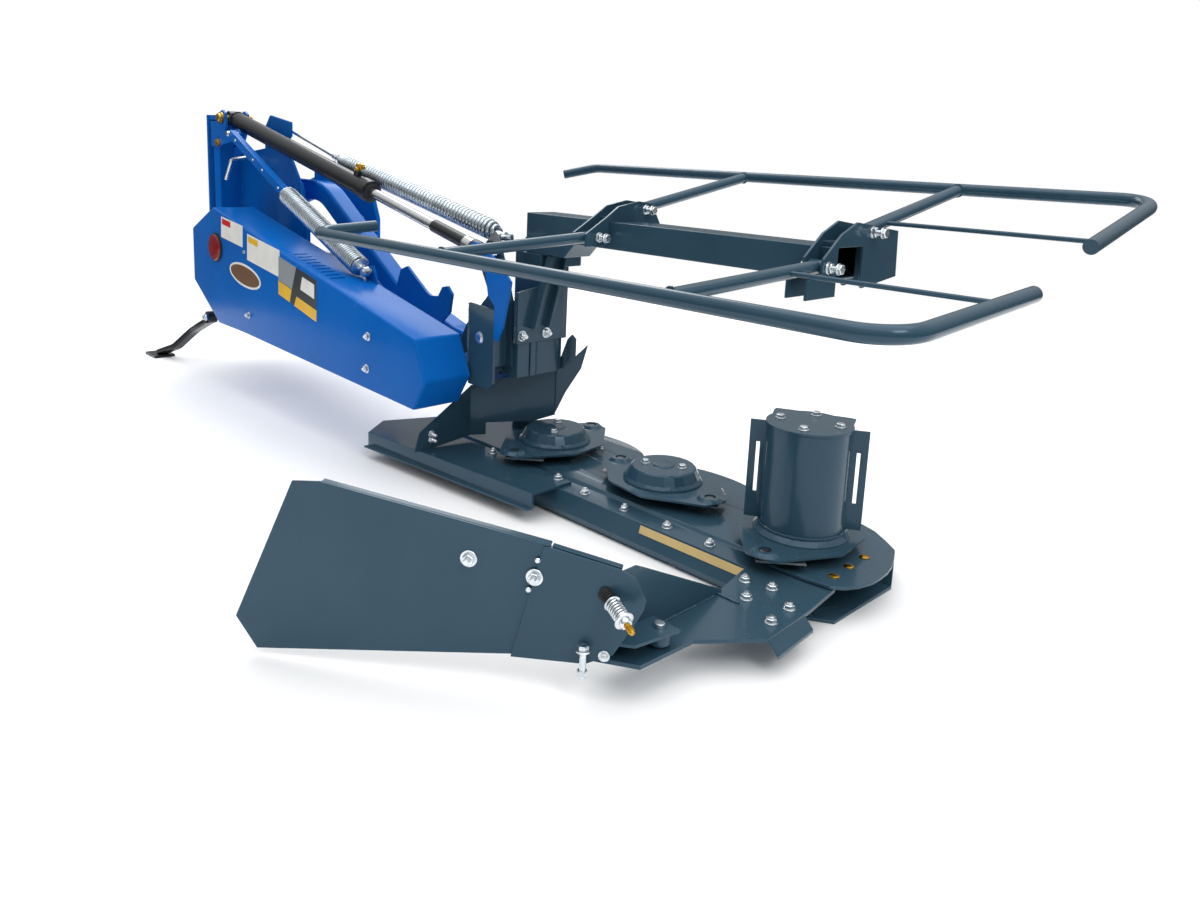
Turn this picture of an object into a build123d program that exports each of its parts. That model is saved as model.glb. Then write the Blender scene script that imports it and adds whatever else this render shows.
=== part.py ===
from build123d import *
import os
from math import atan2, cos, degrees, pi, radians, sin

# Rear-mounted disc mower with three cutting discs, parked on its skids and stand.
# Millimetres. +X runs along the cutter bar to its outer end, +Y is the travel
# direction and +Z is up. The origin is the sole under the middle disc.

os.makedirs("parts", exist_ok=True)

# Clearances
PIN_FIT = 0.3
SEAT = 0.3
MOVE_GAP = 6.0

# Cutter bar and discs
DISC_PITCH = 410.0
DISC_NUMBERS = (1, 2, 3)
CASE_INNER_X = -705.0
CASE_OUTER_X = 520.0
CHANNEL_OUTER_X = 400.0
CASE_REAR_Y = -200.0
CASE_FRONT_Y = 150.0
SOLE_T = 8.0
LEDGE_Z = 70.0
CASE_TOP_Z = 78.0
BOSS_R = 62.0
BOSS_TOP_Z = 92.0
DISC_SHAFT_R = 20.0
DISC_LENGTH = 390.0
DISC_WIDTH = 256.0
DISC_T = 5.0
DISC_Z = 104.0
DOME_R = 102.0
DOME_TOP_R = 66.0
DOME_H = 36.0
CAP_R = 30.0
CAP_H = 4.0
SEAT_RADIUS = 170.0
KNIFE_LENGTH = 104.0
KNIFE_WIDTH = 46.0
KNIFE_T = 4.0
KNIFE_REACH = 84.0
KNIFE_SWING = 122.0
KNIFE_BOLT_R = 9.0
KNIFE_HEAD_R = 16.0
KNIFE_HEAD_H = 5.0
GUARD_RADIUS = 262.0
GUARD_HALF_WIDTH = 200.0
GUARD_OUTER_HALF_WIDTH = 180.0

# Drum on the outer disc
DRUM_R = 93.0
DRUM_BASE_Z = 125.0
DRUM_TOP_Z = 352.0
DRUM_PLATE_T = 6.0
PADDLE_REACH = 36.0
PADDLE_T = 6.0
PADDLE_ANGLE = 30.0
HORN_ANGLES = (66.0, 160.0)
HORN_R = 124.0

# Fold axis of the cutter unit, along Y
FOLD_X = -640.0
FOLD_Z = 310.0
FOLD_PIN_R = 30.0
FOLD_TUBE_R = 68.0
FOLD_TUBE_Y = (-45.0, 25.0)
PLATE_T = 8.0

# Carrier beam and its hoops
BEAM_X = (-505.0, 455.0)
BEAM_WIDTH = 100.0
BEAM_Z = (681.0, 751.0)
BEAM_WALL = 5.0
BRACKET_X = (-209.0, 445.0)
HOOP_TUBE_R = 15.0
REAR_HINGE = (-85.0, 712.0)
FRONT_HINGE = (85.0, 780.0)
REAR_HOOP_YZ = (-559.0, 686.0)
FRONT_HOOP_YZ = (557.0, 872.0)
HINGE_PIN_R = 8.0
LUG_HALF = 17.0
EAR_T = 6.0

# Belt drive, guard and headstock, placed from the input shaft
PTO_X = -1850.0
PTO_Z = 480.0
PTO_R = 17.45
PTO_BEARING_R = 20.0
PTO_STUB_Y = -15.0
PTO_TIP_Y = 110.0
HITCH_HALF = 341.0
HITCH_Y = 150.0
HITCH_Z = 400.0
HITCH_PIN_R = 11.0
HITCH_PIN_LENGTH = 75.0
TOP_LINK_Y = 75.0
TOP_LINK_Z = 820.0
TOP_LINK_BORE_R = 9.7
TOP_LINK_HALF_GAP = 26.0
CHEEK_T = 12.0
CROSS_Y = (60.0, 120.0)
CROSS_Z = (340.0, 410.0)
CHEEK_LEFT = PTO_X - HITCH_HALF
CHEEK_RIGHT = PTO_X + HITCH_HALF
MAST_X = CHEEK_LEFT - 14.0
MAST_Y = -170.0
MAST_SIZE = 56.0
MAST_Z = (346.0, 979.0)
POST_PLATE_X = MAST_X - MAST_SIZE / 2 - 33.0
POST_PLATE_T = 12.0
LUG_T = 18.0
KING_R = 20.0
GUARD_REAR_Y = -350.0
GUARD_FRONT_Y = -207.0
GUARD_WALL = 3.0
BACKPLATE_T = 6.0
LIFT_ARM_Y = -10.0
LIFT_ARM_SIZE = 70.0

# Lift cylinder, pivot at the mast and eye at the lever
CYL_Y = -160.0
CYL_PIVOT = (MAST_X + 80.0, 992.0)
CYL_EYE = (-545.0, 637.0)
BARREL_R = 31.0
BARREL_LENGTH = 1018.0
ROD_R = 16.0
ROD_INSIDE = 320.0
STROKE = 345.0
EYE_R = 27.0
EYE_WIDTH = 48.0
CYL_PIN_R = 12.5

# Float spring and sprung strut
SPRING_Y = -85.0
SPRING_R = 30.0
SPRING_HOOK = (PTO_X + 10.0, 962.0)
SPRING_START = (-1443.0, 857.0)
SPRING_END = (-540.0, 678.0)
STRUT_Y = -228.0
STRUT_TOP = (MAST_X + 215.0, 932.0)
STRUT_MIDDLE = (-1561.0, 733.0)
STRUT_END = (-1055.0, 527.0)
STRUT_SPRING_R = 20.0

# Stand leg
STAND_PIVOT = (MAST_X, 205.0)
STAND_Y = -240.0
STAND_PIN_R = 12.0
STAND_FOOT = (-2530.0, -330.0)

nodes = {}


def save(name, *solids):
    """Keeps the solids of one named piece."""
    nodes[name] = solids[0] if len(solids) == 1 else Compound(list(solids))


def block(x0, x1, y0, y1, z0, z1):
    """A box between two corners."""
    return Pos((x0 + x1) / 2, (y0 + y1) / 2, (z0 + z1) / 2) * Box(x1 - x0, y1 - y0, z1 - z0)


def rod(start, end, radius):
    """A round bar from one point to another."""
    axis = Vector(*end) - Vector(*start)
    return extrude(Plane(origin=start, z_dir=axis) * Circle(radius), amount=axis.length)


def prism(points, push, round_by=0):
    """A flat outline in space pushed into a solid."""
    face = Face(Wire.make_polygon([Vector(p) for p in points]))
    if round_by:
        face = face.fillet_2d(round_by, face.vertices())
    push = Vector(*push)
    return extrude(face, amount=push.length, dir=push)


def plate_xz(outline, y0, y1, round_by=0):
    """An upright plate across the travel direction, outline as (x, z)."""
    return prism([(x, y0, z) for x, z in outline], (0, y1 - y0, 0), round_by)


def plate_yz(outline, x0, x1, round_by=0):
    """An upright plate along the travel direction, outline as (y, z)."""
    return prism([(x0, y, z) for y, z in outline], (x1 - x0, 0, 0), round_by)


def plate_xy(outline, z0, z1, round_by=0):
    """A level plate, outline as (x, y)."""
    return prism([(x, y, z0) for x, y in outline], (0, 0, z1 - z0), round_by)


def tube(points, radius, bend):
    """A round tube or bar along straight runs and bends."""
    path = FilletPolyline(*points, radius=bend)
    return sweep(Plane(origin=path @ 0, z_dir=path % 0) * Circle(radius), path=path)


def along_y(x, z, y0, y1, radius):
    """A round bar across the machine's fold plane."""
    return rod((x, y0, z), (x, y1, z), radius)


def disc_x(number):
    """Place of a disc's axis along the bar."""
    return (number - 2) * DISC_PITCH


# Gear case of the cutter bar
CHANNEL_FRONT_Y = -124.0
case_profile = [(-196, SOLE_T), (CASE_REAR_Y, 22), (-186, LEDGE_Z), (-128, LEDGE_Z),
                (-120, CASE_TOP_Z), (104, CASE_TOP_Z), (112, LEDGE_Z), (CASE_FRONT_Y, LEDGE_Z),
                (CASE_FRONT_Y, 62), (112, 62), (96, SOLE_T)]
case = plate_yz(case_profile, CASE_INNER_X, CASE_OUTER_X)
case += block(CASE_INNER_X, -612, -120, 130, SOLE_T, CASE_TOP_Z)
case -= block(CHANNEL_OUTER_X, CASE_OUTER_X + 1, CASE_REAR_Y - 1, CHANNEL_FRONT_Y, 0, CASE_TOP_Z + 1)
for number in DISC_NUMBERS:
    boss = Pos(disc_x(number), 0, CASE_TOP_Z) * Cylinder(
        BOSS_R, BOSS_TOP_Z - CASE_TOP_Z, align=(Align.CENTER, Align.CENTER, Align.MIN))
    bore = Pos(disc_x(number), 0, CASE_TOP_Z - 6) * Cylinder(
        DISC_SHAFT_R + PIN_FIT, 40, align=(Align.CENTER, Align.CENTER, Align.MIN))
    case = case + boss - bore
save("gear_case", case)

# Stone guards, one skid under each disc
guard_profile = [(-190, 0), (110, 0), (205, 24), (262, 48), (262, 56), (200, 62), (112, 62),
                 (96, SOLE_T), (-190, SOLE_T)]
for number in DISC_NUMBERS:
    x = disc_x(number)
    right = GUARD_OUTER_HALF_WIDTH if number == 3 else GUARD_HALF_WIDTH
    skid = plate_yz(guard_profile, x - GUARD_HALF_WIDTH, x + right)
    plan = Pos(x, 0, 0) * Cylinder(GUARD_RADIUS, 200)
    if number == 3:
        plan &= plate_xy([(x - 200, -190), (x + 90, -190), (x + 177, -136), (x + 180, 100),
                          (x + 149, 167), (x + 60, 240), (x - 20, 275), (x - 200, 275)], -90, 90)
    plan += block(x - GUARD_HALF_WIDTH, x + 60, -200, 60, -100, 100)
    save(f"stone_guard_{number}", skid & plan)


# Discs with their domes, knife seats and knives
def disc_plate(x, turn):
    """Long disc plate with a domed hub, turned about its own axis."""
    half_l, half_w = DISC_LENGTH / 2, DISC_WIDTH / 2
    outline = [(half_l, 34), (62, half_w), (-62, half_w), (-half_l, 34),
               (-half_l, -34), (-62, -half_w), (62, -half_w), (half_l, -34)]
    plate = plate_xy(outline, DISC_Z, DISC_Z + DISC_T, 24)
    top = DISC_Z + DISC_T
    shaft = Pos(0, 0, CASE_TOP_Z) * Cylinder(
        DISC_SHAFT_R, DISC_Z - CASE_TOP_Z + 1, align=(Align.CENTER, Align.CENTER, Align.MIN))
    plate += shaft
    for side in (-1, 1):
        seat = Pos(side * SEAT_RADIUS, 0, top) * Cone(
            33, 24, 8, align=(Align.CENTER, Align.CENTER, Align.MIN))
        seat -= Pos(side * SEAT_RADIUS, 0, top + 3) * Cylinder(
            14, 20, align=(Align.CENTER, Align.CENTER, Align.MIN))
        shank_h = DISC_Z - KNIFE_Z
        shank = Pos(side * SEAT_RADIUS, 0, KNIFE_Z - SEAT) * Cylinder(
            KNIFE_BOLT_R, shank_h + 1, align=(Align.CENTER, Align.CENTER, Align.MIN))
        head = Pos(side * SEAT_RADIUS, 0, KNIFE_Z - SEAT) * Cylinder(
            KNIFE_HEAD_R, KNIFE_HEAD_H, align=(Align.CENTER, Align.CENTER, Align.MAX))
        plate += [seat, shank, head]
    return Pos(x, 0, 0) * Rot(0, 0, turn) * plate


def dome():
    """Domed hub over the disc's bearing."""
    top = DISC_Z + DISC_T
    half = make_face(Polyline((0, top - 1), (DOME_R, top - 1), (DOME_R, top + 4),
                              (DOME_TOP_R + 8, top + DOME_H - 6), (DOME_TOP_R, top + DOME_H),
                              (CAP_R, top + DOME_H), (CAP_R - 4, top + DOME_H + CAP_H),
                              (0, top + DOME_H + CAP_H), (0, top - 1)))
    return revolve(Plane.XZ * half, Axis.Z)


KNIFE_Z = DISC_Z - KNIFE_T - 3.0
DISC_TURNS = (97.0, -7.0, 97.0)


def knives(x, turn):
    """Two free-swinging knives under one disc, swung in round their bolts."""
    pair = []
    tail = KNIFE_REACH - KNIFE_LENGTH
    blade = block(tail, KNIFE_REACH, -KNIFE_WIDTH / 2, KNIFE_WIDTH / 2, KNIFE_Z, KNIFE_Z + KNIFE_T)
    blade -= Pos(0, 0, KNIFE_Z) * Cylinder(KNIFE_BOLT_R + PIN_FIT, 30)
    for side in (0, 180):
        seat = Pos(x, 0, 0) * Rot(0, 0, turn + side) * Pos(SEAT_RADIUS, 0, 0)
        pair.append(seat * Rot(0, 0, KNIFE_SWING) * blade)
    return pair


for number in DISC_NUMBERS:
    x, turn = disc_x(number), DISC_TURNS[DISC_NUMBERS.index(number)]
    whole = disc_plate(x, turn)
    if number == 3:
        top = DISC_Z + DISC_T
        skirt = revolve(Plane.XZ * make_face(Polyline(
            (0, top - 1), (DOME_R + 6, top - 1), (DOME_R + 6, top + 3),
            (DRUM_R, DRUM_BASE_Z), (0, DRUM_BASE_Z), (0, top - 1))), Axis.Z)
        whole += Pos(x, 0, 0) * skirt
    else:
        whole += Pos(x, 0, 0) * dome()
    save(f"disc_{number}", whole)
    save(f"disc_{number}_knives", *knives(x, turn))

# Drum on the outer disc, with two upright paddles and a top plate with two horns
drum = Pos(0, 0, DRUM_BASE_Z) * Cylinder(
    DRUM_R, DRUM_TOP_Z - DRUM_BASE_Z, align=(Align.CENTER, Align.CENTER, Align.MIN))
for side in (0, 180):
    paddle = block(DRUM_R - 4, DRUM_R + PADDLE_REACH, -PADDLE_T / 2, PADDLE_T / 2,
                   DRUM_BASE_Z, DRUM_TOP_Z)
    paddle -= block(DRUM_R + 12, DRUM_R + 20, -20, 20, DRUM_BASE_Z + 60, DRUM_TOP_Z - 50)
    drum += Rot(0, 0, PADDLE_ANGLE + side) * paddle
save("drum", Pos(disc_x(3), 0, 0) * drum)
drum_top = Pos(0, 0, DRUM_TOP_Z) * Cylinder(
    DRUM_R + 3, DRUM_PLATE_T, align=(Align.CENTER, Align.CENTER, Align.MIN))
for angle in HORN_ANGLES:
    horn = plate_xy([(60, -58), (DRUM_R + 3, -30), (HORN_R, 0), (HORN_R - 8, 12), (60, 62)],
                    DRUM_TOP_Z, DRUM_TOP_Z + DRUM_PLATE_T)
    drum_top += Rot(0, 0, angle) * horn
save("drum_top", Pos(disc_x(3), 0, 0) * drum_top)

# Outer shoe: tail plate behind the last disc, with a folded-down outer edge
TAIL_Z = (62.0, 70.0)
tail = [(CHANNEL_OUTER_X, CHANNEL_FRONT_Y), (575, CHANNEL_FRONT_Y), (590, -245), (598, -395),
        (510, -501), (503, -635), (412, -688), (404, -600), (421, -299), (CHANNEL_OUTER_X, -200)]
shoe = plate_xy(tail, *TAIL_Z)
flange_drop = Vector(24, 2, -26)
flange_top = [Vector(586, -262, TAIL_Z[1]), Vector(596, -394, TAIL_Z[1])]
shoe += prism([flange_top[0], flange_top[1], flange_top[1] + flange_drop,
               flange_top[0] + flange_drop], (0, 0, -6))
save("outer_shoe", shoe)

# Inner shoe: wide plate behind the inner end, with a folded-down rear edge
SHOE_T = 8.0
SHOE_REAR = ((-865.0, -332.0), (-190.0, -277.0))
SHOE_LIP_Z = 34.0
(rear_x0, rear_y0), (rear_x1, rear_y1) = SHOE_REAR
inner_plan = [(rear_x1, -140), (rear_x1, rear_y1), (rear_x0, rear_y0), (-940, -235),
              (-830, 40), (-780, 150), (CASE_INNER_X, 150), (CASE_INNER_X, -140)]
inner = plate_xy(inner_plan, LEDGE_Z, LEDGE_Z + SHOE_T)
lip = [(rear_x0, rear_y0), (rear_x1, rear_y1), (rear_x1, rear_y1 + SHOE_T),
       (rear_x0, rear_y0 + SHOE_T)]
inner += plate_xy(lip, SHOE_LIP_Z, LEDGE_Z + SHOE_T)
foot = [(rear_x0, rear_y0 - 14), (rear_x1, rear_y1 - 14), (rear_x1, rear_y1 + 1),
        (rear_x0, rear_y0 + 1)]
inner += plate_xy(foot, SHOE_LIP_Z, SHOE_LIP_Z + 5)
save("inner_shoe", inner)

# Inner skid, a sledge under the inner shoe
skid_profile = [(-120, 0), (60, 0), (150, 30), (190, 62), (190, 70), (182, 70), (146, 38),
                (58, SOLE_T), (-110, SOLE_T), (-110, LEDGE_Z), (-120, LEDGE_Z)]
skid = plate_yz(skid_profile, -860, -730)
skid += plate_yz([(-120, 0), (60, 0), (150, 30), (150, LEDGE_Z), (-120, LEDGE_Z)], -733, -727)
save("inner_skid", skid)

# Crop divider at the inner end: a sheet bent twice, standing on the shoe, and a wing with a tab
DIVIDER_T = 4.0
DIVIDER_PLAN = ((-631, -328), (-637, -130), (-463, 40))
# Each panel runs from one plan corner to the next: its outline as (y, z), and its thickness
divider_outlines = (
    ([(-328, LEDGE_Z + 8), (-312, 130), (-130, 240), (-130, 90), (-270, LEDGE_Z + 8)],
     (DIVIDER_T, 0, 0)),
    ([(-130, 240), (0, 292), (40, 305), (40, 162), (0, 142), (-98, 130), (-98, 94), (-130, 90)],
     (DIVIDER_T, -DIVIDER_T, 0)),
)
divider = []
for (x0, y0), (x1, y1), (outline, push) in zip(DIVIDER_PLAN, DIVIDER_PLAN[1:], divider_outlines):
    points = [(x0 + (x1 - x0) * (y - y0) / (y1 - y0), y, z) for y, z in outline]
    divider.append(prism(points, push))
save("crop_divider", divider[0] + divider[1])
wing_outline = [(-463, 162), (-463, 300), (-447, 340), (-430, 392), (-416, 408), (-404, 396),
                (-404, 345), (-368, 384), (-386, 312), (-430, 236)]
save("divider_wing", prism([(x, 40 + (x + 463) * 0.35, z) for x, z in wing_outline], (0, 4, 0)))

# Frame of the cutter unit: plates round the fold pin, joined by a box, and the blue lift lever
LEVER_SEAM_X = -459.0
clevis = [(-568, 270), (-568, 500), (LEVER_SEAM_X, 494), (LEVER_SEAM_X, 288), (-480, 270)]
lift_lever = [(-580, 650), (-560, 668), (-520, 668), (-419, 600), (-394, 577), (-398, 553),
              (-424, 450), (-447, 408), (LEVER_SEAM_X, 420), (LEVER_SEAM_X, 505), (-487, 530),
              (-500, 590), (-580, 615)]
hub_lever = [(-598, 640), (-575, 668), (-520, 668), (-455, 500), (-455, 330), (-560, 330),
             (-600, 272), (-640, 262), (-684, 272), (-700, 300), (-700, 350), (-660, 420),
             (-560, 520), (-600, 590)]
hub_plate = [(-690, 275), (-640, 262), (-600, 270), (-575, 305), (-440, 305), (-440, 465),
             (-560, 465), (-620, 390), (-700, 350)]
LEVER_Y = (CYL_Y - EYE_WIDTH / 2 - 3 - PLATE_T, CYL_Y + EYE_WIDTH / 2 + 3)
HUB_Y = (FOLD_TUBE_Y[0] - MOVE_GAP - PLATE_T, FOLD_TUBE_Y[1] + MOVE_GAP)
frame_solid = block(-530, -480, LEVER_Y[0], HUB_Y[1] + PLATE_T, 330, 460)
frame_solid += plate_xz(clevis, LEVER_Y[0], LEVER_Y[0] + PLATE_T)
frame_solid += plate_xz(hub_lever, LEVER_Y[1], LEVER_Y[1] + PLATE_T)
for y in HUB_Y:
    frame_solid += plate_xz(hub_plate, y, y + PLATE_T)
FOLD_PIN_Y = (LEVER_Y[1] - 4, HUB_Y[1] + PLATE_T)
frame_solid -= along_y(FOLD_X, FOLD_Z, FOLD_PIN_Y[0] - 10, FOLD_PIN_Y[1] + 10, FOLD_PIN_R)
frame_solid -= along_y(*CYL_EYE, LEVER_Y[0] - 5, LEVER_Y[1] + 20, CYL_PIN_R)
save("cutter_frame", frame_solid)
lever = plate_xz(lift_lever, LEVER_Y[0], LEVER_Y[0] + PLATE_T)
save("lift_lever", lever - along_y(*CYL_EYE, LEVER_Y[0] - 5, LEVER_Y[0] + 20, CYL_PIN_R))
save("fold_pin", along_y(FOLD_X, FOLD_Z, FOLD_PIN_Y[0], FOLD_PIN_Y[1], FOLD_PIN_R))

# Pins of the lever: rod eye pin and spring pin
rod_pin = [along_y(*CYL_EYE, LEVER_Y[0] - 4, LEVER_Y[0] + PLATE_T, CYL_PIN_R),
           along_y(*CYL_EYE, LEVER_Y[1], LEVER_Y[1] + PLATE_T + 6, CYL_PIN_R)]
spring_pin = along_y(*SPRING_END, LEVER_Y[1], SPRING_Y + 7, 8)
spring_lug = plate_xz([(-575, 668), (-520, 668), (-524, 690), (-538, 698), (-552, 690)],
                      LEVER_Y[1], LEVER_Y[1] + PLATE_T)
save("lever_pins", *rod_pin, spring_lug + spring_pin)

# Column and carrier beam over the bar
COLUMN_X = (-655.0, -490.0)
COLUMN_Y = (HUB_Y[1] + PLATE_T, 105.0)
COLUMN_Z = (380.0, 640.0)
column = block(*COLUMN_X, *COLUMN_Y, *COLUMN_Z)
column += block(-520, -440, -BEAM_WIDTH / 2, COLUMN_Y[1], COLUMN_Z[1] - 40, COLUMN_Z[1])
save("column", column)
beam = block(*BEAM_X, -BEAM_WIDTH / 2, BEAM_WIDTH / 2, *BEAM_Z)
beam -= block(BEAM_X[0] + BEAM_WALL, BEAM_X[1] + 1, BEAM_WALL - BEAM_WIDTH / 2,
              BEAM_WIDTH / 2 - BEAM_WALL, BEAM_Z[0] + BEAM_WALL, BEAM_Z[1] - BEAM_WALL)
beam += plate_xz([(BEAM_X[0], COLUMN_Z[1]), (-350, COLUMN_Z[1]), (-310, BEAM_Z[0]),
                  (BEAM_X[0], BEAM_Z[0])], -BEAM_WIDTH / 2, BEAM_WIDTH / 2)
save("carrier_beam", beam)

# Bevel gearbox between the fold pin and the gear case
GEARBOX_Y = 85.0
gearbox = along_y(FOLD_X, FOLD_Z, FOLD_PIN_Y[1], 132, 62)
gearbox += rod((FOLD_X, GEARBOX_Y, CASE_TOP_Z), (FOLD_X, GEARBOX_Y, FOLD_Z), 38)
gearbox += rod((FOLD_X, GEARBOX_Y, CASE_TOP_Z), (FOLD_X, GEARBOX_Y, CASE_TOP_Z + 14), 41)
save("bevel_gearbox", gearbox)

# Brackets on the beam that carry both hoops
inner_ear = [(-131, 690), (-131, 722), (-60, 762), (-17, 789), (60, 802), (110, 796), (165, 712),
             (150, 690), (50, 690), (50, BEAM_Z[1]), (-50, BEAM_Z[1]), (-50, 690)]
outer_ear = [(-160, 650), (-160, 690), (-108, 700), (-104, 730), (-40, 778), (20, 802),
             (202, 780), (210, 677), (60, 660), (50, 668), (50, BEAM_Z[1]), (-50, BEAM_Z[1]),
             (-50, 650)]
for name, x, ear in zip(("inner_bracket", "outer_bracket"), BRACKET_X, (inner_ear, outer_ear)):
    pair = []
    for side in (-1, 1):
        near = x + side * (LUG_HALF + 2)
        pair.append(plate_yz(ear, min(near, near + side * EAR_T), max(near, near + side * EAR_T)))
    bracket = pair[0] + pair[1]
    bracket += block(x - LUG_HALF - 2, x + LUG_HALF + 2, -40, 40, BEAM_Z[1], BEAM_Z[1] + 10)
    for y, z in (REAR_HINGE, FRONT_HINGE):
        bracket += rod((x - LUG_HALF - 14, y, z), (x + LUG_HALF + 14, y, z), HINGE_PIN_R)
    save(name, bracket)


# Crop hoops of bent tube, folding up about their hinges
def hoop(hinge, main, inner_path, outer_x, return_y, rod_y):
    """One hoop: main tube with a bent inner end, two arms and a thin rod."""
    y, z = main
    slope = (z - hinge[1]) / (y - hinge[0])
    at = lambda yy: hinge[1] + slope * (yy - hinge[0])
    path = inner_path + [(outer_x, y, z), (outer_x, return_y, at(return_y))]
    whole = tube(path, HOOP_TUBE_R, [60, 80])
    for x in BRACKET_X:
        sleeve = rod((x - LUG_HALF, hinge[0], hinge[1]), (x + LUG_HALF, hinge[0], hinge[1]), 15)
        whole += rod((x, hinge[0], hinge[1]), (x, y, z), 14) + sleeve
    whole += rod((BRACKET_X[1], rod_y, at(rod_y)), (outer_x, rod_y, at(rod_y)), 5)
    for x in BRACKET_X:
        bore = rod((x - 40, hinge[0], hinge[1]), (x + 40, hinge[0], hinge[1]),
                   HINGE_PIN_R + PIN_FIT)
        whole -= bore
    return whole


rear_y, rear_z = REAR_HOOP_YZ
front_y, front_z = FRONT_HOOP_YZ
save("rear_hoop", hoop(REAR_HINGE, REAR_HOOP_YZ, [(-757, -374, 698), (-757, rear_y, rear_z)],
                       866, -74, -200))
save("front_hoop", hoop(FRONT_HINGE, FRONT_HOOP_YZ, [(-930, 480, 845), (-850, front_y, front_z)],
                        887, 130, 170))

# Swath board on the outer shoe, set inwards to the rear and sprung about an upright pin
BOARD_START = Vector(497, -642, 0)
BOARD_DIR = Vector(-495, -353, 0).normalized()
BOARD_T = 5.0
BOARD_PIVOT = (478, -560)
BOARD_PIN_R = 10.0
board_normal = Vector(0, 0, 1).cross(BOARD_DIR)


def on_board(s, z):
    """Point on the board, s along it from its outer end."""
    p = BOARD_START + BOARD_DIR * s
    return (p.X, p.Y, z)


main_board = prism([on_board(s, z) for s, z in (
    (150, 72), (150, 270), (560, 340), (612, 336), (724, 70), (684, 12))],
    tuple(board_normal * BOARD_T))
front_board = prism([on_board(s, z) for s, z in (
    (-60, 96), (-60, 150), (-40, 178), (150, 268), (190, 262), (190, 80), (92, 84))],
    tuple(board_normal * -BOARD_T))
save("swath_board", main_board)
save("swath_extension", front_board)
arm_z = TAIL_Z[1] + MOVE_GAP
board_arm = plate_xy([(510, -540), (446, -540), (430, -688), (492, -645)], arm_z + 22, arm_z + 28)
board_arm += Pos(*BOARD_PIVOT, arm_z) * Cylinder(22, 28, align=(Align.CENTER, Align.CENTER, Align.MIN))
board_arm -= Pos(*BOARD_PIVOT, arm_z - 1) * Cylinder(
    BOARD_PIN_R + PIN_FIT, 40, align=(Align.CENTER, Align.CENTER, Align.MIN))
inside = board_normal * -BOARD_T
board_arm -= prism([tuple(Vector(*on_board(s, z)) + inside)
                    for s, z in ((-300, 0), (900, 0), (900, 400), (-300, 400))],
                   tuple(board_normal * 200))
save("board_arm", board_arm)
save("board_pin", Pos(*BOARD_PIVOT, TAIL_Z[1]) * Cylinder(
    BOARD_PIN_R, 42, align=(Align.CENTER, Align.CENTER, Align.MIN)))

# Arm: mast on the king pin, ears for the cylinder, web and spring hook plate
half = MAST_SIZE / 2
MAST_RIGHT = MAST_X + half
ear_rear_y = MAST_Y - half
EAR_FRONT_Y = -122.0
WEB_Y = (-112.0, -102.0)
pivot_x, pivot_z = CYL_PIVOT
mast = block(MAST_X - half, MAST_RIGHT, MAST_Y - half, MAST_Y + half, *MAST_Z)
mast -= Pos(MAST_X, MAST_Y, 600) * Cylinder(KING_R + PIN_FIT, 1000)
cylinder_ear = [(MAST_X - half, 882), (MAST_X - half, MAST_Z[1]), (MAST_X + 36, MAST_Z[1]),
                (pivot_x - 26, pivot_z + 20), (pivot_x, pivot_z + 30), (pivot_x + 26, pivot_z + 18),
                (pivot_x + 28, pivot_z - 30), (pivot_x - 30, 882)]
for y0 in (ear_rear_y - 10, EAR_FRONT_Y):
    mast += plate_xz(cylinder_ear, y0, y0 + 10)
top_x, top_z = STRUT_TOP
mast += plate_xz([(MAST_X + half, 884), (MAST_X + half, 940), (top_x, top_z + 18), (top_x + 16, top_z),
                  (top_x, top_z - 18)], ear_rear_y - 10, ear_rear_y)
mast += block(MAST_X - half, MAST_RIGHT, MAST_Y + half, WEB_Y[0], 890, 950)
mast -= along_y(*CYL_PIVOT, ear_rear_y - 40, WEB_Y[1] + 20, CYL_PIN_R)
hook_x, hook_z = SPRING_HOOK
web = [(MAST_RIGHT, 380), (MAST_RIGHT, 860), (hook_x - 130, 885), (hook_x - 130, hook_z),
       (hook_x - 85, hook_z + 46), (hook_x + 75, hook_z + 22), (hook_x + 75, hook_z - 28),
       (hook_x + 34, hook_z - 56), (PTO_X + 154, 768), (PTO_X + 200, 600), (PTO_X + 200, 400),
       (PTO_X - 40, 380)]
mast += plate_xz(web, *WEB_Y)
mast += block(MAST_X - half, MAST_RIGHT, MAST_Y + half, WEB_Y[1], 400, 840)
mast += block(MAST_RIGHT, PTO_X - 40, WEB_Y[1], LIFT_ARM_Y - LIFT_ARM_SIZE / 2, 706, 774)
mast += along_y(PTO_X, PTO_Z, GUARD_FRONT_Y + BACKPLATE_T, PTO_STUB_Y - 5, 55)
mast -= along_y(PTO_X, PTO_Z, GUARD_FRONT_Y - 1, PTO_STUB_Y + 10, PTO_BEARING_R + PIN_FIT)
save("arm_mast", mast)
save("cylinder_pin", along_y(*CYL_PIVOT, ear_rear_y - 28, WEB_Y[1] + 8, CYL_PIN_R))

# Lift arm, a bent box tube from the mast to the fold tube
arm_path = FilletPolyline((MAST_X + 40, LIFT_ARM_Y, 740), (-1677, LIFT_ARM_Y, 740),
                          (-1165, LIFT_ARM_Y, 420), (-865, LIFT_ARM_Y, 335),
                          (FOLD_X, LIFT_ARM_Y, FOLD_Z), radius=[200, 200, 200])
arm_section = RectangleRounded(LIFT_ARM_SIZE, LIFT_ARM_SIZE, 12)
lift_arm = sweep(Plane(origin=arm_path @ 0, x_dir=(0, 1, 0), z_dir=arm_path % 0) * arm_section,
                 path=arm_path)
lift_arm += along_y(FOLD_X, FOLD_Z, *FOLD_TUBE_Y, FOLD_TUBE_R)
lift_arm -= along_y(FOLD_X, FOLD_Z, -100, 100, FOLD_PIN_R + PIN_FIT)
save("lift_arm", lift_arm)

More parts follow.
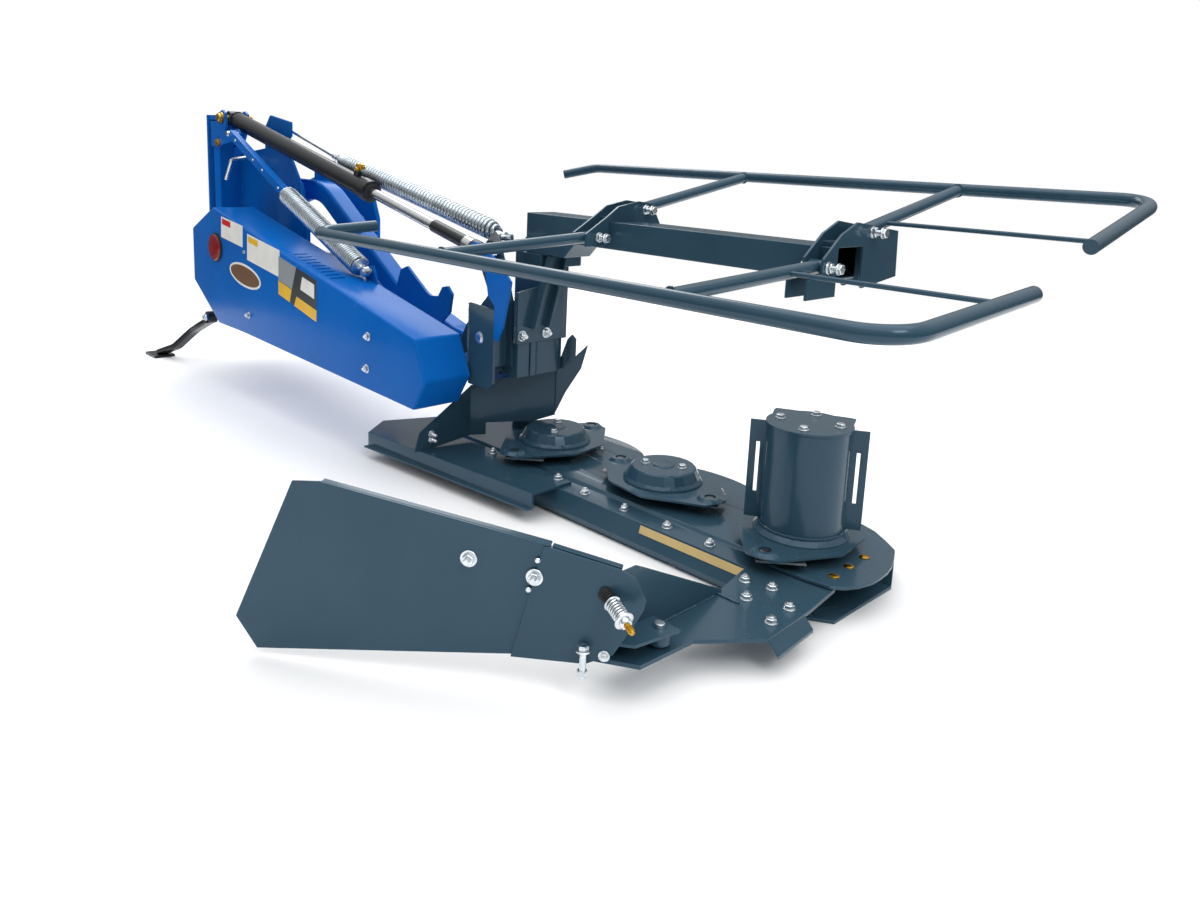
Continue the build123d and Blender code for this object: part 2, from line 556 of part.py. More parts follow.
# Catch plate with its notch, on the side of the arm
HOOK_Y = (-73.0, -63.0)
catch = [(-1120, 470), (-1098, 522), (-1062, 536), (-958, 470), (-930, 458), (-890, 462),
         (-868, 494), (-842, 500), (-818, 478), (-828, 420), (-868, 384), (-930, 372),
         (-1060, 405), (-1120, 430)]
hook = plate_xz(catch, *HOOK_Y)
hook += block(-1080, -960, HOOK_Y[1], LIFT_ARM_Y - LIFT_ARM_SIZE / 2, 402, 412)
save("catch_plate", hook)

# Belt guard and the plate it closes against
guard_left = PTO_X - 231
guard_outline = [(PTO_X - 42, 669), (guard_left, 579), (guard_left, 381), (PTO_X - 16, 246),
                 (PTO_X + 181, 245), (-606, 207), (-549, 297), (-602, 406)]
guard = plate_xz(guard_outline, GUARD_REAR_Y, GUARD_FRONT_Y)
guard = offset(guard, amount=-GUARD_WALL, openings=guard.faces().sort_by(Axis.Y)[-1])
for i in range(9):
    x = -1345 + i * 38
    guard -= block(x, x + 11, GUARD_REAR_Y - 5, GUARD_REAR_Y + 10, 478 - i * 8, 535 - i * 8)
save("belt_guard", guard)
backplate = plate_xz(guard_outline, GUARD_FRONT_Y, GUARD_FRONT_Y + BACKPLATE_T)
backplate -= along_y(PTO_X, PTO_Z, GUARD_FRONT_Y - 5, GUARD_FRONT_Y + 20, PTO_BEARING_R + PIN_FIT)
save("belt_backplate", backplate)
strut_x, strut_z = STRUT_END
strut_lug = plate_xz([(strut_x - 34, 500), (strut_x - 22, strut_z + 14), (strut_x + 14, strut_z + 18),
                      (strut_x + 34, 492)], GUARD_FRONT_Y, GUARD_FRONT_Y + BACKPLATE_T)
save("strut_lug", strut_lug - plate_xz(guard_outline, GUARD_FRONT_Y - 1, GUARD_FRONT_Y + 20))
save("driven_flange", along_y(FOLD_X, FOLD_Z, GUARD_FRONT_Y + BACKPLATE_T, LEVER_Y[0] + 4, 64))

# Input shaft for the drive line, with its belt pulley
shaft = along_y(PTO_X, PTO_Z, GUARD_FRONT_Y - 60, PTO_STUB_Y, PTO_BEARING_R)
shaft += along_y(PTO_X, PTO_Z, PTO_STUB_Y, PTO_TIP_Y, PTO_R)
shaft += along_y(PTO_X, PTO_Z, GUARD_FRONT_Y - 60, GUARD_FRONT_Y - 12, 110)
save("pto_shaft", shaft)

# Headstock: cross tube, cheeks, arch to the top link and lugs of the king pin
cross_mid_y = sum(CROSS_Y) / 2
head = block(POST_PLATE_X, CHEEK_RIGHT, *CROSS_Y, *CROSS_Z)
for x0 in (CHEEK_LEFT - CHEEK_T, CHEEK_RIGHT):
    head += plate_yz([(60, HITCH_Z - 65), (150, HITCH_Z - 65), (182, HITCH_Z - 30),
                      (182, HITCH_Z + 26), (160, HITCH_Z + 40), (60, HITCH_Z + 40)], x0, x0 + CHEEK_T)
for side in (-1, 1):
    arch = [(353, CROSS_Z[1]), (353, 650), (322, 722), (38, TOP_LINK_Z - 22), (38, 720),
            (262, 650), (285, 620), (285, CROSS_Z[1])]
    head += prism([(PTO_X + side * x, cross_mid_y - 8, z) for x, z in arch], (0, 16, 0))
    inner_x = PTO_X + side * TOP_LINK_HALF_GAP
    outer_x = inner_x + side * 12
    head += plate_yz([(TOP_LINK_Y - 30, 715), (TOP_LINK_Y + 30, 715), (TOP_LINK_Y + 28, 838),
                      (TOP_LINK_Y + 16, 849), (TOP_LINK_Y - 16, 849), (TOP_LINK_Y - 28, 838)],
                     min(inner_x, outer_x), max(inner_x, outer_x))
head += block(PTO_X - 27, PTO_X + 27, cross_mid_y - 8, cross_mid_y + 8, 715, 745)
head -= rod((PTO_X - 60, TOP_LINK_Y, TOP_LINK_Z), (PTO_X + 60, TOP_LINK_Y, TOP_LINK_Z),
            TOP_LINK_BORE_R)
lug_low_z = MAST_Z[0] - 28
lug_high_z = MAST_Z[1] + 6
post_plate = [(-205, lug_low_z), (110, lug_low_z), (110, 450), (0, 700), (-110, lug_high_z + LUG_T),
              (-205, lug_high_z + LUG_T)]
head += plate_yz(post_plate, POST_PLATE_X - POST_PLATE_T, POST_PLATE_X)
for z0 in (lug_low_z, lug_high_z):
    head += block(POST_PLATE_X, MAST_RIGHT, MAST_Y - half, MAST_Y + half, z0, z0 + LUG_T)
save("headstock", head)
save("king_pin", rod((MAST_X, MAST_Y, lug_low_z + LUG_T), (MAST_X, MAST_Y, lug_high_z), KING_R))
pins = []
for side, x0 in ((-1, CHEEK_LEFT - CHEEK_T), (1, CHEEK_RIGHT + CHEEK_T)):
    pins.append(rod((x0, HITCH_Y, HITCH_Z), (x0 + side * HITCH_PIN_LENGTH, HITCH_Y, HITCH_Z),
                    HITCH_PIN_R))
save("hitch_pins", *pins)

# Stand leg and the bracket it turns on
stand_x, stand_z = STAND_PIVOT
bracket = block(stand_x - 24, stand_x + 24, -198, -150, stand_z - 26, lug_low_z)
stand_pin = along_y(*STAND_PIVOT, STAND_Y - 24, -198, STAND_PIN_R)
save("stand_bracket", bracket + stand_pin)
foot_x, foot_y = STAND_FOOT
leg_path = FilletPolyline((stand_x - 10, STAND_Y, stand_z - 14), (stand_x - 150, STAND_Y - 10, 128),
                          (foot_x + 110, foot_y + 30, 52), (foot_x + 20, foot_y, 16),
                          radius=[90, 60])
leg_section = RectangleRounded(46, 22, 8)
leg = sweep(Plane(origin=leg_path @ 0, x_dir=(0, 1, 0), z_dir=leg_path % 0) * leg_section,
            path=leg_path)
leg += along_y(*STAND_PIVOT, STAND_Y - 16, STAND_Y + 16, 24)
leg += block(foot_x - 50, foot_x + 60, foot_y - 40, foot_y + 40, 0, 9)
leg -= along_y(*STAND_PIVOT, STAND_Y - 30, STAND_Y + 30, STAND_PIN_R + PIN_FIT)
save("stand_leg", leg)

# Lift cylinder, its rod drawn out to the lever
pivot = Vector(pivot_x, CYL_Y, pivot_z)
eye = Vector(CYL_EYE[0], CYL_Y, CYL_EYE[1])
cyl_dir = (eye - pivot).normalized()
ROD_START = BARREL_LENGTH - ROD_INSIDE
BORE_START = ROD_START - STROKE
barrel = rod(tuple(pivot + cyl_dir * 30), tuple(pivot + cyl_dir * BARREL_LENGTH), BARREL_R)
barrel += rod(tuple(pivot + cyl_dir * (BARREL_LENGTH - 42)), tuple(pivot + cyl_dir * BARREL_LENGTH),
              BARREL_R + 4)
barrel += along_y(*CYL_PIVOT, CYL_Y - EYE_WIDTH / 2, CYL_Y + EYE_WIDTH / 2, EYE_R)
barrel += rod(tuple(pivot), tuple(pivot + cyl_dir * 40), 20)
barrel -= along_y(*CYL_PIVOT, CYL_Y - 40, CYL_Y + 40, CYL_PIN_R + PIN_FIT)
barrel -= rod(tuple(pivot + cyl_dir * BORE_START), tuple(pivot + cyl_dir * (BARREL_LENGTH + 50)),
              ROD_R + PIN_FIT)
save("cylinder_barrel", barrel)
piston_rod = rod(tuple(pivot + cyl_dir * ROD_START), tuple(eye), ROD_R)
piston_rod += along_y(*CYL_EYE, CYL_Y - EYE_WIDTH / 2, CYL_Y + EYE_WIDTH / 2, EYE_R)
piston_rod += rod(tuple(eye - cyl_dir * 90), tuple(eye), 21)
save("cylinder_rod", piston_rod)

# Float spring with its tension rod, and the sprung strut
hook_p = (hook_x, SPRING_Y, hook_z)
start_p = Vector(SPRING_START[0], SPRING_Y, SPRING_START[1])
end_p = Vector(SPRING_END[0], SPRING_Y, SPRING_END[1])
spring_dir = (end_p - start_p).normalized()
coil = rod(tuple(start_p), tuple(end_p - spring_dir * 40), SPRING_R)
coil += rod(tuple(end_p - spring_dir * 45), tuple(end_p - spring_dir * 8), 7)
coil -= along_y(*SPRING_END, SPRING_Y - 30, SPRING_Y + 30, 8)
save("float_spring", coil)
tension_rod = rod(hook_p, tuple(start_p), 7) - rod(tuple(start_p), tuple(end_p), 60)
save("spring_rod", tension_rod + along_y(hook_x, hook_z, WEB_Y[1], SPRING_Y + 7, 7))
top_p = Vector(STRUT_TOP[0], STRUT_Y, STRUT_TOP[1])
mid_p = Vector(STRUT_MIDDLE[0], STRUT_Y, STRUT_MIDDLE[1])
low_p = Vector(strut_x, STRUT_Y, strut_z)
channel = rod(tuple(top_p), tuple(mid_p), 16) - rod(tuple(mid_p), tuple(low_p), 60)
channel += along_y(top_p.X, top_p.Z, STRUT_Y - 20, ear_rear_y - 10, 10)
save("strut_channel", channel)
strut = rod(tuple(mid_p), tuple(low_p), STRUT_SPRING_R)
strut += along_y(strut_x, strut_z, STRUT_Y - 14, GUARD_FRONT_Y, 9)
save("strut_spring", strut)

for name, shape in nodes.items():
    export_step(shape, f"parts/{name}.step")
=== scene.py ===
"""Looks of a rear-mounted disc mower with three discs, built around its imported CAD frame."""

from math import cos, pi, radians, sin
from random import Random

import bmesh
import bpy
from mathutils import Matrix, Vector


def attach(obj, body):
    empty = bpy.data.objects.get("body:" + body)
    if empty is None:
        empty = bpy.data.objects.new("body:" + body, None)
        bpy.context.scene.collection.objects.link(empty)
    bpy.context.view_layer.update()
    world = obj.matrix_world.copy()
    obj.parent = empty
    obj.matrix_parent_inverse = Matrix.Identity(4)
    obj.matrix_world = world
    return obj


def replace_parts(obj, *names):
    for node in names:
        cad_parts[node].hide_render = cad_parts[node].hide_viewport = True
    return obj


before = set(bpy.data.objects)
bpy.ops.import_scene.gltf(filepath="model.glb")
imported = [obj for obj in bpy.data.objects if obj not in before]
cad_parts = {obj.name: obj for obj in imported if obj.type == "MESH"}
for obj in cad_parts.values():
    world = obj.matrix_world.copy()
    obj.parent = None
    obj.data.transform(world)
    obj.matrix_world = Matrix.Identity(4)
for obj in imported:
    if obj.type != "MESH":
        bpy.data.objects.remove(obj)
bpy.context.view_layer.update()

bl_info = {
    "name": "Disc mower",
    "version": (1, 0, 0),
    "blender": (4, 5, 0),
    "location": "3D View > Sidebar > Disc mower",
    "description": "Builds the painted, bolted and sprung pieces of a disc mower",
    "category": "Add Mesh",
}

MM = 0.001

REAR, FRONT, UP, DOWN = (0, -1, 0), (0, 1, 0), (0, 0, 1), (0, 0, -1)
OUT, IN = (1, 0, 0), (-1, 0, 0)
ACROSS = Vector(FRONT)

# Material slot and finish of each kind of surface
BLUE = ("blue_paint", "blue_enamel")
SLATE = ("dark_paint", "slate_enamel")
BLACK = ("black_paint", "black_enamel")
RUBBER = ("black_paint", "rubber")
ZINC = ("zinc", "zinc_plate")
ZINC_WIRE = ("zinc", "zinc_wire")
YELLOW_ZINC = ("zinc", "yellow_zinc")
BRASS = ("zinc", "brass")
DARK_STEEL = ("zinc", "dark_steel")
STEEL = ("bare_steel", "ground_steel")
CHROME = ("chrome_rod", "hard_chrome")

# Places taken from the part's source, in millimetres
MAST_X, MAST_Y = -2205, -170
GUARD_REAR_Y, GUARD_FRONT_Y = -350, -207
GUARD_OUTLINE = [(-1892, 669), (-2081, 579), (-2081, 381), (-1866, 246), (-1669, 245),
                 (-606, 207), (-549, 297), (-602, 406)]
CYL_Y, CYL_PIVOT, CYL_EYE = -160, (-2125, 992), (-545, 637)
BARREL_R, BARREL_LENGTH = 31, 1018
SPRING_Y, SPRING_HOOK, SPRING_START, SPRING_END = -85, (-1840, 962), (-1443, 857), (-540, 678)
STRUT_Y, STRUT_TOP, STRUT_MIDDLE, STRUT_END = -228, (-1990, 932), (-1561, 733), (-1055, 527)
FOLD = (-640, 310)
DISC_X = {1: -410, 2: 0, 3: 410}
DISC_TURN = {1: 97, 2: -7, 3: 97}
DISC_TOP, DOME_TOP_Z, DRUM_TOP_Z = 109, 145, 358
BRACKET_X = (-209, 445)
REAR_HINGE, FRONT_HINGE = (-85, 712), (85, 780)
REAR_HOOP, FRONT_HOOP = (-559, 686), (557, 872)
BOARD_START, BOARD_DIR = Vector((497, -642, 0)), Vector((-495, -353, 0)).normalized()
BOARD_NORMAL = Vector(UP).cross(BOARD_DIR)
BOARD_T = 5
# Outside of the coils; the strut's is wider than the CAD's, as the photograph shows it
FLOAT_COIL_R, STRUT_COIL_R = 30, 33


class MowerSizes(bpy.types.PropertyGroup):
    """Sizes of the made-up detail that the CAD leaves out."""
    plate_edge: bpy.props.FloatProperty(
        name="Plate edge", description="Width of the broken edge on cut plate",
        default=0.0012, unit="LENGTH")
    casting_edge: bpy.props.FloatProperty(
        name="Casting edge", description="Width of the round edge on tube ends and castings",
        default=0.0025, unit="LENGTH")
    float_wire: bpy.props.FloatProperty(
        name="Float spring wire", description="Wire diameter of the float spring",
        default=0.0125, unit="LENGTH")
    float_turns: bpy.props.IntProperty(
        name="Float spring turns", description="Turns of the float spring", default=57)
    strut_wire: bpy.props.FloatProperty(
        name="Strut spring wire", description="Wire diameter of the strut spring",
        default=0.0080, unit="LENGTH")
    strut_turns: bpy.props.IntProperty(
        name="Strut spring turns", description="Turns of the strut spring", default=50)


class MowerPaints(bpy.types.PropertyGroup):
    """Colours that a user would change, as sRGB hex."""
    body_paint: bpy.props.StringProperty(
        name="Body paint", description="Enamel of the headstock, arm and guard", default="#0A62B8")
    cutter_paint: bpy.props.StringProperty(
        name="Cutter paint", description="Enamel of the cutter bar, frame and hoops",
        default="#2B4757")
    barrel_paint: bpy.props.StringProperty(
        name="Barrel paint", description="Enamel of the lift cylinder", default="#141618")
    lens: bpy.props.StringProperty(
        name="Reflector", description="Moulded lens of the rear reflector", default="#B3121A")


def sizes():
    """The sizes that the user can change."""
    return bpy.context.scene.mower_sizes


def paints():
    """The colours that the user can change."""
    return bpy.context.scene.mower_paints


# Materials

# Sockets of the mix node when it mixes colours
COLOUR_A, COLOUR_B, COLOUR_OUT = 6, 7, 2


def linear(code):
    """An sRGB hex colour as linear red, green, blue and alpha."""
    parts = [int(code[i:i + 2], 16) / 255 for i in (1, 3, 5)]
    return tuple(c / 12.92 if c <= 0.04045 else ((c + 0.055) / 1.055) ** 2.4
                 for c in parts) + (1.0,)


def darker(colour, share):
    """A linear colour at a share of its strength."""
    return tuple(c * share for c in colour[:3]) + (1.0,)


def add_node(tree, kind, links=None, inputs=None, **settings):
    """Adds one shader node with its settings, socket values and incoming links."""
    node = tree.nodes.new(kind)
    for key, value in settings.items():
        setattr(node, key, value)
    for key, value in (inputs or {}).items():
        node.inputs[key].default_value = value
    for key, source in (links or {}).items():
        tree.links.new(source, node.inputs[key])
    return node


def ramp(tree, source, stops):
    """A colour ramp over the given stops."""
    node = add_node(tree, "ShaderNodeValToRGB", {"Fac": source})
    band = node.color_ramp.elements
    while len(band) < len(stops):
        band.new(0.5)
    for element, (place, colour) in zip(band, stops):
        element.position, element.color = place, colour
    return node.outputs["Color"]


def remap(tree, value, start, end, low, high):
    """Stretches a value between start and end to one between low and high."""
    node = add_node(tree, "ShaderNodeMapRange", {"Value": value},
                    {"From Min": start, "From Max": end, "To Min": low, "To Max": high})
    return node.outputs["Result"]


def feed(tree, shader, links, values):
    """Links sources to the shader's sockets and sets the others that are fixed."""
    for key, source in links.items():
        tree.links.new(source, shader.inputs[key])
    for key, value in values.items():
        shader.inputs[key].default_value = value


def new_material(name):
    """An empty node material, with its shader and a mapping in millimetres of the object."""
    material = bpy.data.materials.new(name)
    material.use_nodes = True
    tree = material.node_tree
    tree.nodes.clear()
    shader = add_node(tree, "ShaderNodeBsdfPrincipled")
    add_node(tree, "ShaderNodeOutputMaterial", {"Surface": shader.outputs["BSDF"]})
    place = add_node(tree, "ShaderNodeTexCoord").outputs["Object"]
    return material, tree, shader, place


def grain(tree, place, size_mm, detail=3.0, rough=0.55):
    """Soft noise whose patches are size_mm across."""
    node = add_node(tree, "ShaderNodeTexNoise", {"Vector": place},
                    {"Scale": 1000.0 / size_mm, "Detail": detail, "Roughness": rough})
    return node.outputs["Fac"]


def bump(tree, shader, height, depth_mm, strength):
    """Raises the surface by a height pattern."""
    node = add_node(tree, "ShaderNodeBump", {"Height": height},
                    {"Strength": strength, "Distance": depth_mm * MM})
    tree.links.new(node.outputs["Normal"], shader.inputs["Normal"])


def enamel(name, paint, dust, sheen, roughness, gloss=0.5, coat=0.1):
    """Sprayed and baked enamel: gloss with long orange peel, thin dust and rubbed patches."""
    material, tree, shader, place = new_material(name)
    base, worn = linear(getattr(paints(), paint)), linear(dust)
    patches = grain(tree, place, 420.0, 5.0, 0.55)
    light = tuple(b * 0.96 + w * 0.04 for b, w in zip(base[:3], worn[:3])) + (1.0,)
    body = ramp(tree, patches, [(0.30, darker(base, 0.86)), (0.52, base), (0.76, light)])
    specks = remap(tree, grain(tree, place, 9.0, 5.0, 0.7), 0.66, 0.80, 0.0, 0.12)
    mixed = add_node(tree, "ShaderNodeMix", {0: specks, COLOUR_A: body}, {COLOUR_B: worn},
                     data_type="RGBA")
    feed(tree, shader,
         {"Base Color": mixed.outputs[COLOUR_OUT],
          "Roughness": remap(tree, patches, 0.3, 0.75, roughness - 0.04, roughness + 0.10)},
         {"IOR": 1.46, "Specular IOR Level": gloss, "Specular Tint": linear(sheen),
          "Coat Weight": coat, "Coat Roughness": 0.06})
    # Orange peel of a thick sprayed coat, drawn as slow waves so that it shows in the gloss
    bump(tree, shader, grain(tree, place, 90.0, 1.0, 0.4), 0.35, 0.25)
    return material


def plated(name, colour, tint, roughness, scratch_mm=3.0, spangle_mm=12.0, relief=0.012):
    """A plated or bare metal: small crystals in the finish and a fine change of gloss."""
    material, tree, shader, place = new_material(name)
    spangle = add_node(tree, "ShaderNodeTexVoronoi", {"Vector": place},
                       {"Scale": 1000.0 / spangle_mm, "Randomness": 1.0})
    tone = ramp(tree, spangle.outputs["Color"], [(0.0, linear(tint)), (0.85, linear(colour))])
    gloss = remap(tree, grain(tree, place, 20.0, 4.0), 0.3, 0.7,
                  roughness - 0.06, roughness + 0.10)
    feed(tree, shader, {"Base Color": tone, "Roughness": gloss}, {"Metallic": 1.0})
    if relief:
        bump(tree, shader, grain(tree, place, scratch_mm, 2.0, 0.5), relief, 0.3)
    return material


def grained(name, tones, noise, values, relief=None, drawn=None, gloss=None):
    """A surface whose colour and height follow one noise; drawn is a scale that makes streaks."""
    material, tree, shader, place = new_material(name)
    if drawn:
        place = add_node(tree, "ShaderNodeMapping", {"Vector": place},
                         {"Scale": drawn}).outputs["Vector"]
    waves = grain(tree, place, *noise)
    links = {"Base Color": ramp(tree, waves, [(at, linear(code)) for at, code in tones])}
    if gloss:
        links["Roughness"] = remap(tree, waves, 0.0, 1.0, *gloss)
    feed(tree, shader, links, values)
    if relief:
        bump(tree, shader, waves, *relief)
    return material


def vinyl(name, colour):
    """Printed vinyl film: even colour under a satin face that is never quite flat."""
    material, tree, shader, place = new_material(name)
    base, waves = linear(colour), grain(tree, place, 45.0, 2.0)
    tone = ramp(tree, waves, [(0.3, darker(base, 0.9)), (0.7, base)])
    feed(tree, shader, {"Base Color": tone}, {"Roughness": 0.34, "IOR": 1.47})
    bump(tree, shader, waves, 0.06, 0.3)
    return material


def prism_lens(name):
    """Moulded acrylic reflector: clear red over small corner prisms 3 mm across, with painted
    shade that darkens the red towards each prism's edge.
    """
    material, tree, shader, place = new_material(name)
    cells = add_node(tree, "ShaderNodeTexVoronoi", {"Vector": place},
                     {"Scale": 1000.0 / 3.0, "Randomness": 0.15}, distance="MANHATTAN")
    prism_depth_and_shade, base = cells.outputs["Distance"], linear(paints().lens)
    # Painted shade: the red darkens to under half its strength towards the edges of each prism
    # cell; the same pattern raises the prisms
    tone = ramp(tree, prism_depth_and_shade, [(0.05, base), (0.6, darker(base, 0.45))])
    feed(tree, shader, {"Base Color": tone},
         {"Roughness": 0.15, "IOR": 1.49, "Coat Weight": 0.25, "Coat Roughness": 0.03})
    bump(tree, shader, prism_depth_and_shade, 0.5, 0.5)
    return material


# How each finish is made: its function and that function's values after the name
FINISHES = {
    "blue_enamel": (enamel, "body_paint", "#8FA0B0", "#7FB2FF", 0.22, 0.12, 0.03),
    "slate_enamel": (enamel, "cutter_paint", "#8A949B", "#BFD8F5", 0.20, 0.42, 0.20),
    "black_enamel": (enamel, "barrel_paint", "#6E7275", "#DDE6F0", 0.30),
    "zinc_plate": (plated, "#E4EAEE", "#CDD5DB", 0.27),
    "zinc_wire": (plated, "#C3CCD3", "#AEB8C0", 0.28, 3.0, 30.0, 0.0),
    "yellow_zinc": (plated, "#D9B667", "#A8843A", 0.30, 3.0, 8.0),
    "brass": (plated, "#D8A93F", "#A87C23", 0.25, 2.0, 6.0),
    # Hard chrome, nearly a mirror, with faint rings round the bar
    "hard_chrome": (grained, ((0.2, "#B9BEC2"), (0.8, "#E6E9EB")), (4.0,),
                    {"Metallic": 1.0, "Roughness": 0.12}, (0.02, 0.3), (1.0, 0.05, 0.05)),
    # Blade steel, rolled and ground, with streaks along the blade
    "ground_steel": (grained, ((0.25, "#5C6064"), (0.75, "#A5A9AB")), (3.0, 5.0, 0.65),
                     {"Metallic": 1.0}, (0.05, 0.4), (0.08, 1.0, 1.0), (0.28, 0.5)),
    "dark_steel": (plated, "#6B6F73", "#3C4044", 0.42, 3.0, 7.0),
    # Moulded nitrile rubber with a fine pitted skin
    "rubber": (grained, ((0.3, "#0D0D0E"), (0.7, "#1B1C1E")), (2.5,), {"Roughness": 0.62},
               (0.15, 0.5)),
    "white_vinyl": (vinyl, "#E9E9E4"),
    "red_vinyl": (vinyl, "#C8202A"),
    "yellow_vinyl": (vinyl, "#E8B722"),
    "bronze_vinyl": (vinyl, "#6F5038"),
    "tan_vinyl": (vinyl, "#C9B078"),
    "grey_vinyl": (vinyl, "#8D9498"),
    "graphite_vinyl": (vinyl, "#2C3136"),
    "red_acrylic": (prism_lens,),
    # Matt studio floor, a little uneven
    "studio_white": (grained, ((0.3, "#F4F5F6"), (0.7, "#FBFBFB")), (900.0, 2.0),
                     {"Roughness": 0.85}),
}


def finish(name):
    """The named material, made once."""
    make, *values = FINISHES[name]
    return bpy.data.materials.get(name) or make(name, *values)


# Mesh tools

# Edges sharper than this many degrees shade sharp and can be broken, in this many steps
EDGE_ANGLE, EDGE_STEPS = 32.0, 2
# Nodes with the round edges of tube ends and castings; the others are cut plate
CAST_NODES = ("hitch_pins", "column", "carrier_beam", "bevel_gearbox")
KNIFE_EDGE = 0.0006


def bake(thing):
    """Applies a piece's modifiers to its mesh."""
    bpy.context.view_layer.update()
    baked = bpy.data.meshes.new_from_object(
        thing.evaluated_get(bpy.context.evaluated_depsgraph_get()))
    thing.modifiers.clear()
    old, thing.data = thing.data, baked
    bpy.data.meshes.remove(old)


def round_edges(thing, width):
    """Breaks the sharp edges of a mesh and bakes the result into it."""
    if width > 0:
        bevel = thing.modifiers.new("edges", "BEVEL")
        bevel.width, bevel.segments = width, EDGE_STEPS
        bevel.limit_method, bevel.angle_limit = "ANGLE", radians(EDGE_ANGLE)
        bevel.harden_normals = True
        bevel.use_clamp_overlap = True
        bevel.miter_outer = "MITER_ARC"
        bake(thing)


def put(name, mesh, body, paint, width=0.0, sharp=EDGE_ANGLE):
    """Links a finished mesh as a piece that rides on a body."""
    slot, material = paint
    mesh.name = name
    for polygon in mesh.polygons:
        polygon.use_smooth = True
    mesh.set_sharp_from_angle(angle=radians(sharp))
    thing = bpy.data.objects.new(name, mesh)
    bpy.context.scene.collection.objects.link(thing)
    round_edges(thing, width)
    thing.data.materials.clear()
    thing.data.materials.append(finish(material))
    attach(thing, body)
    return thing


def dress(node, body, paint, width=None):
    """A copy of a CAD node with broken edges, clean shading and a real finish."""
    if width is None:
        width = sizes().casting_edge if node in CAST_NODES else sizes().plate_edge
    bm = bmesh.new()
    bm.from_mesh(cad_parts[node].data)
    bmesh.ops.remove_doubles(bm, verts=bm.verts, dist=2e-6)
    bmesh.ops.dissolve_limit(bm, angle_limit=radians(0.8), verts=bm.verts, edges=bm.edges)
    mesh = bpy.data.meshes.new(node + "_painted")
    bm.to_mesh(mesh)
    bm.free()
    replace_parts(put(node + "_painted", mesh, body, paint, width), node)


def dress_all(body, table):
    """Dresses each node of one body: node and paint."""
    for node, paint in table:
        dress(node, body, paint)


def angles(count, last=0):
    """Even steps round a circle; with last as 1 they come back to the first."""
    return [2 * pi * i / count for i in range(count + last)]


# Share of a bolt's width across flats that is its head's height, and its thread's radius
HEAD_SHARE, THREAD_SHARE = 0.42, 0.31
COIL_STEPS = 20


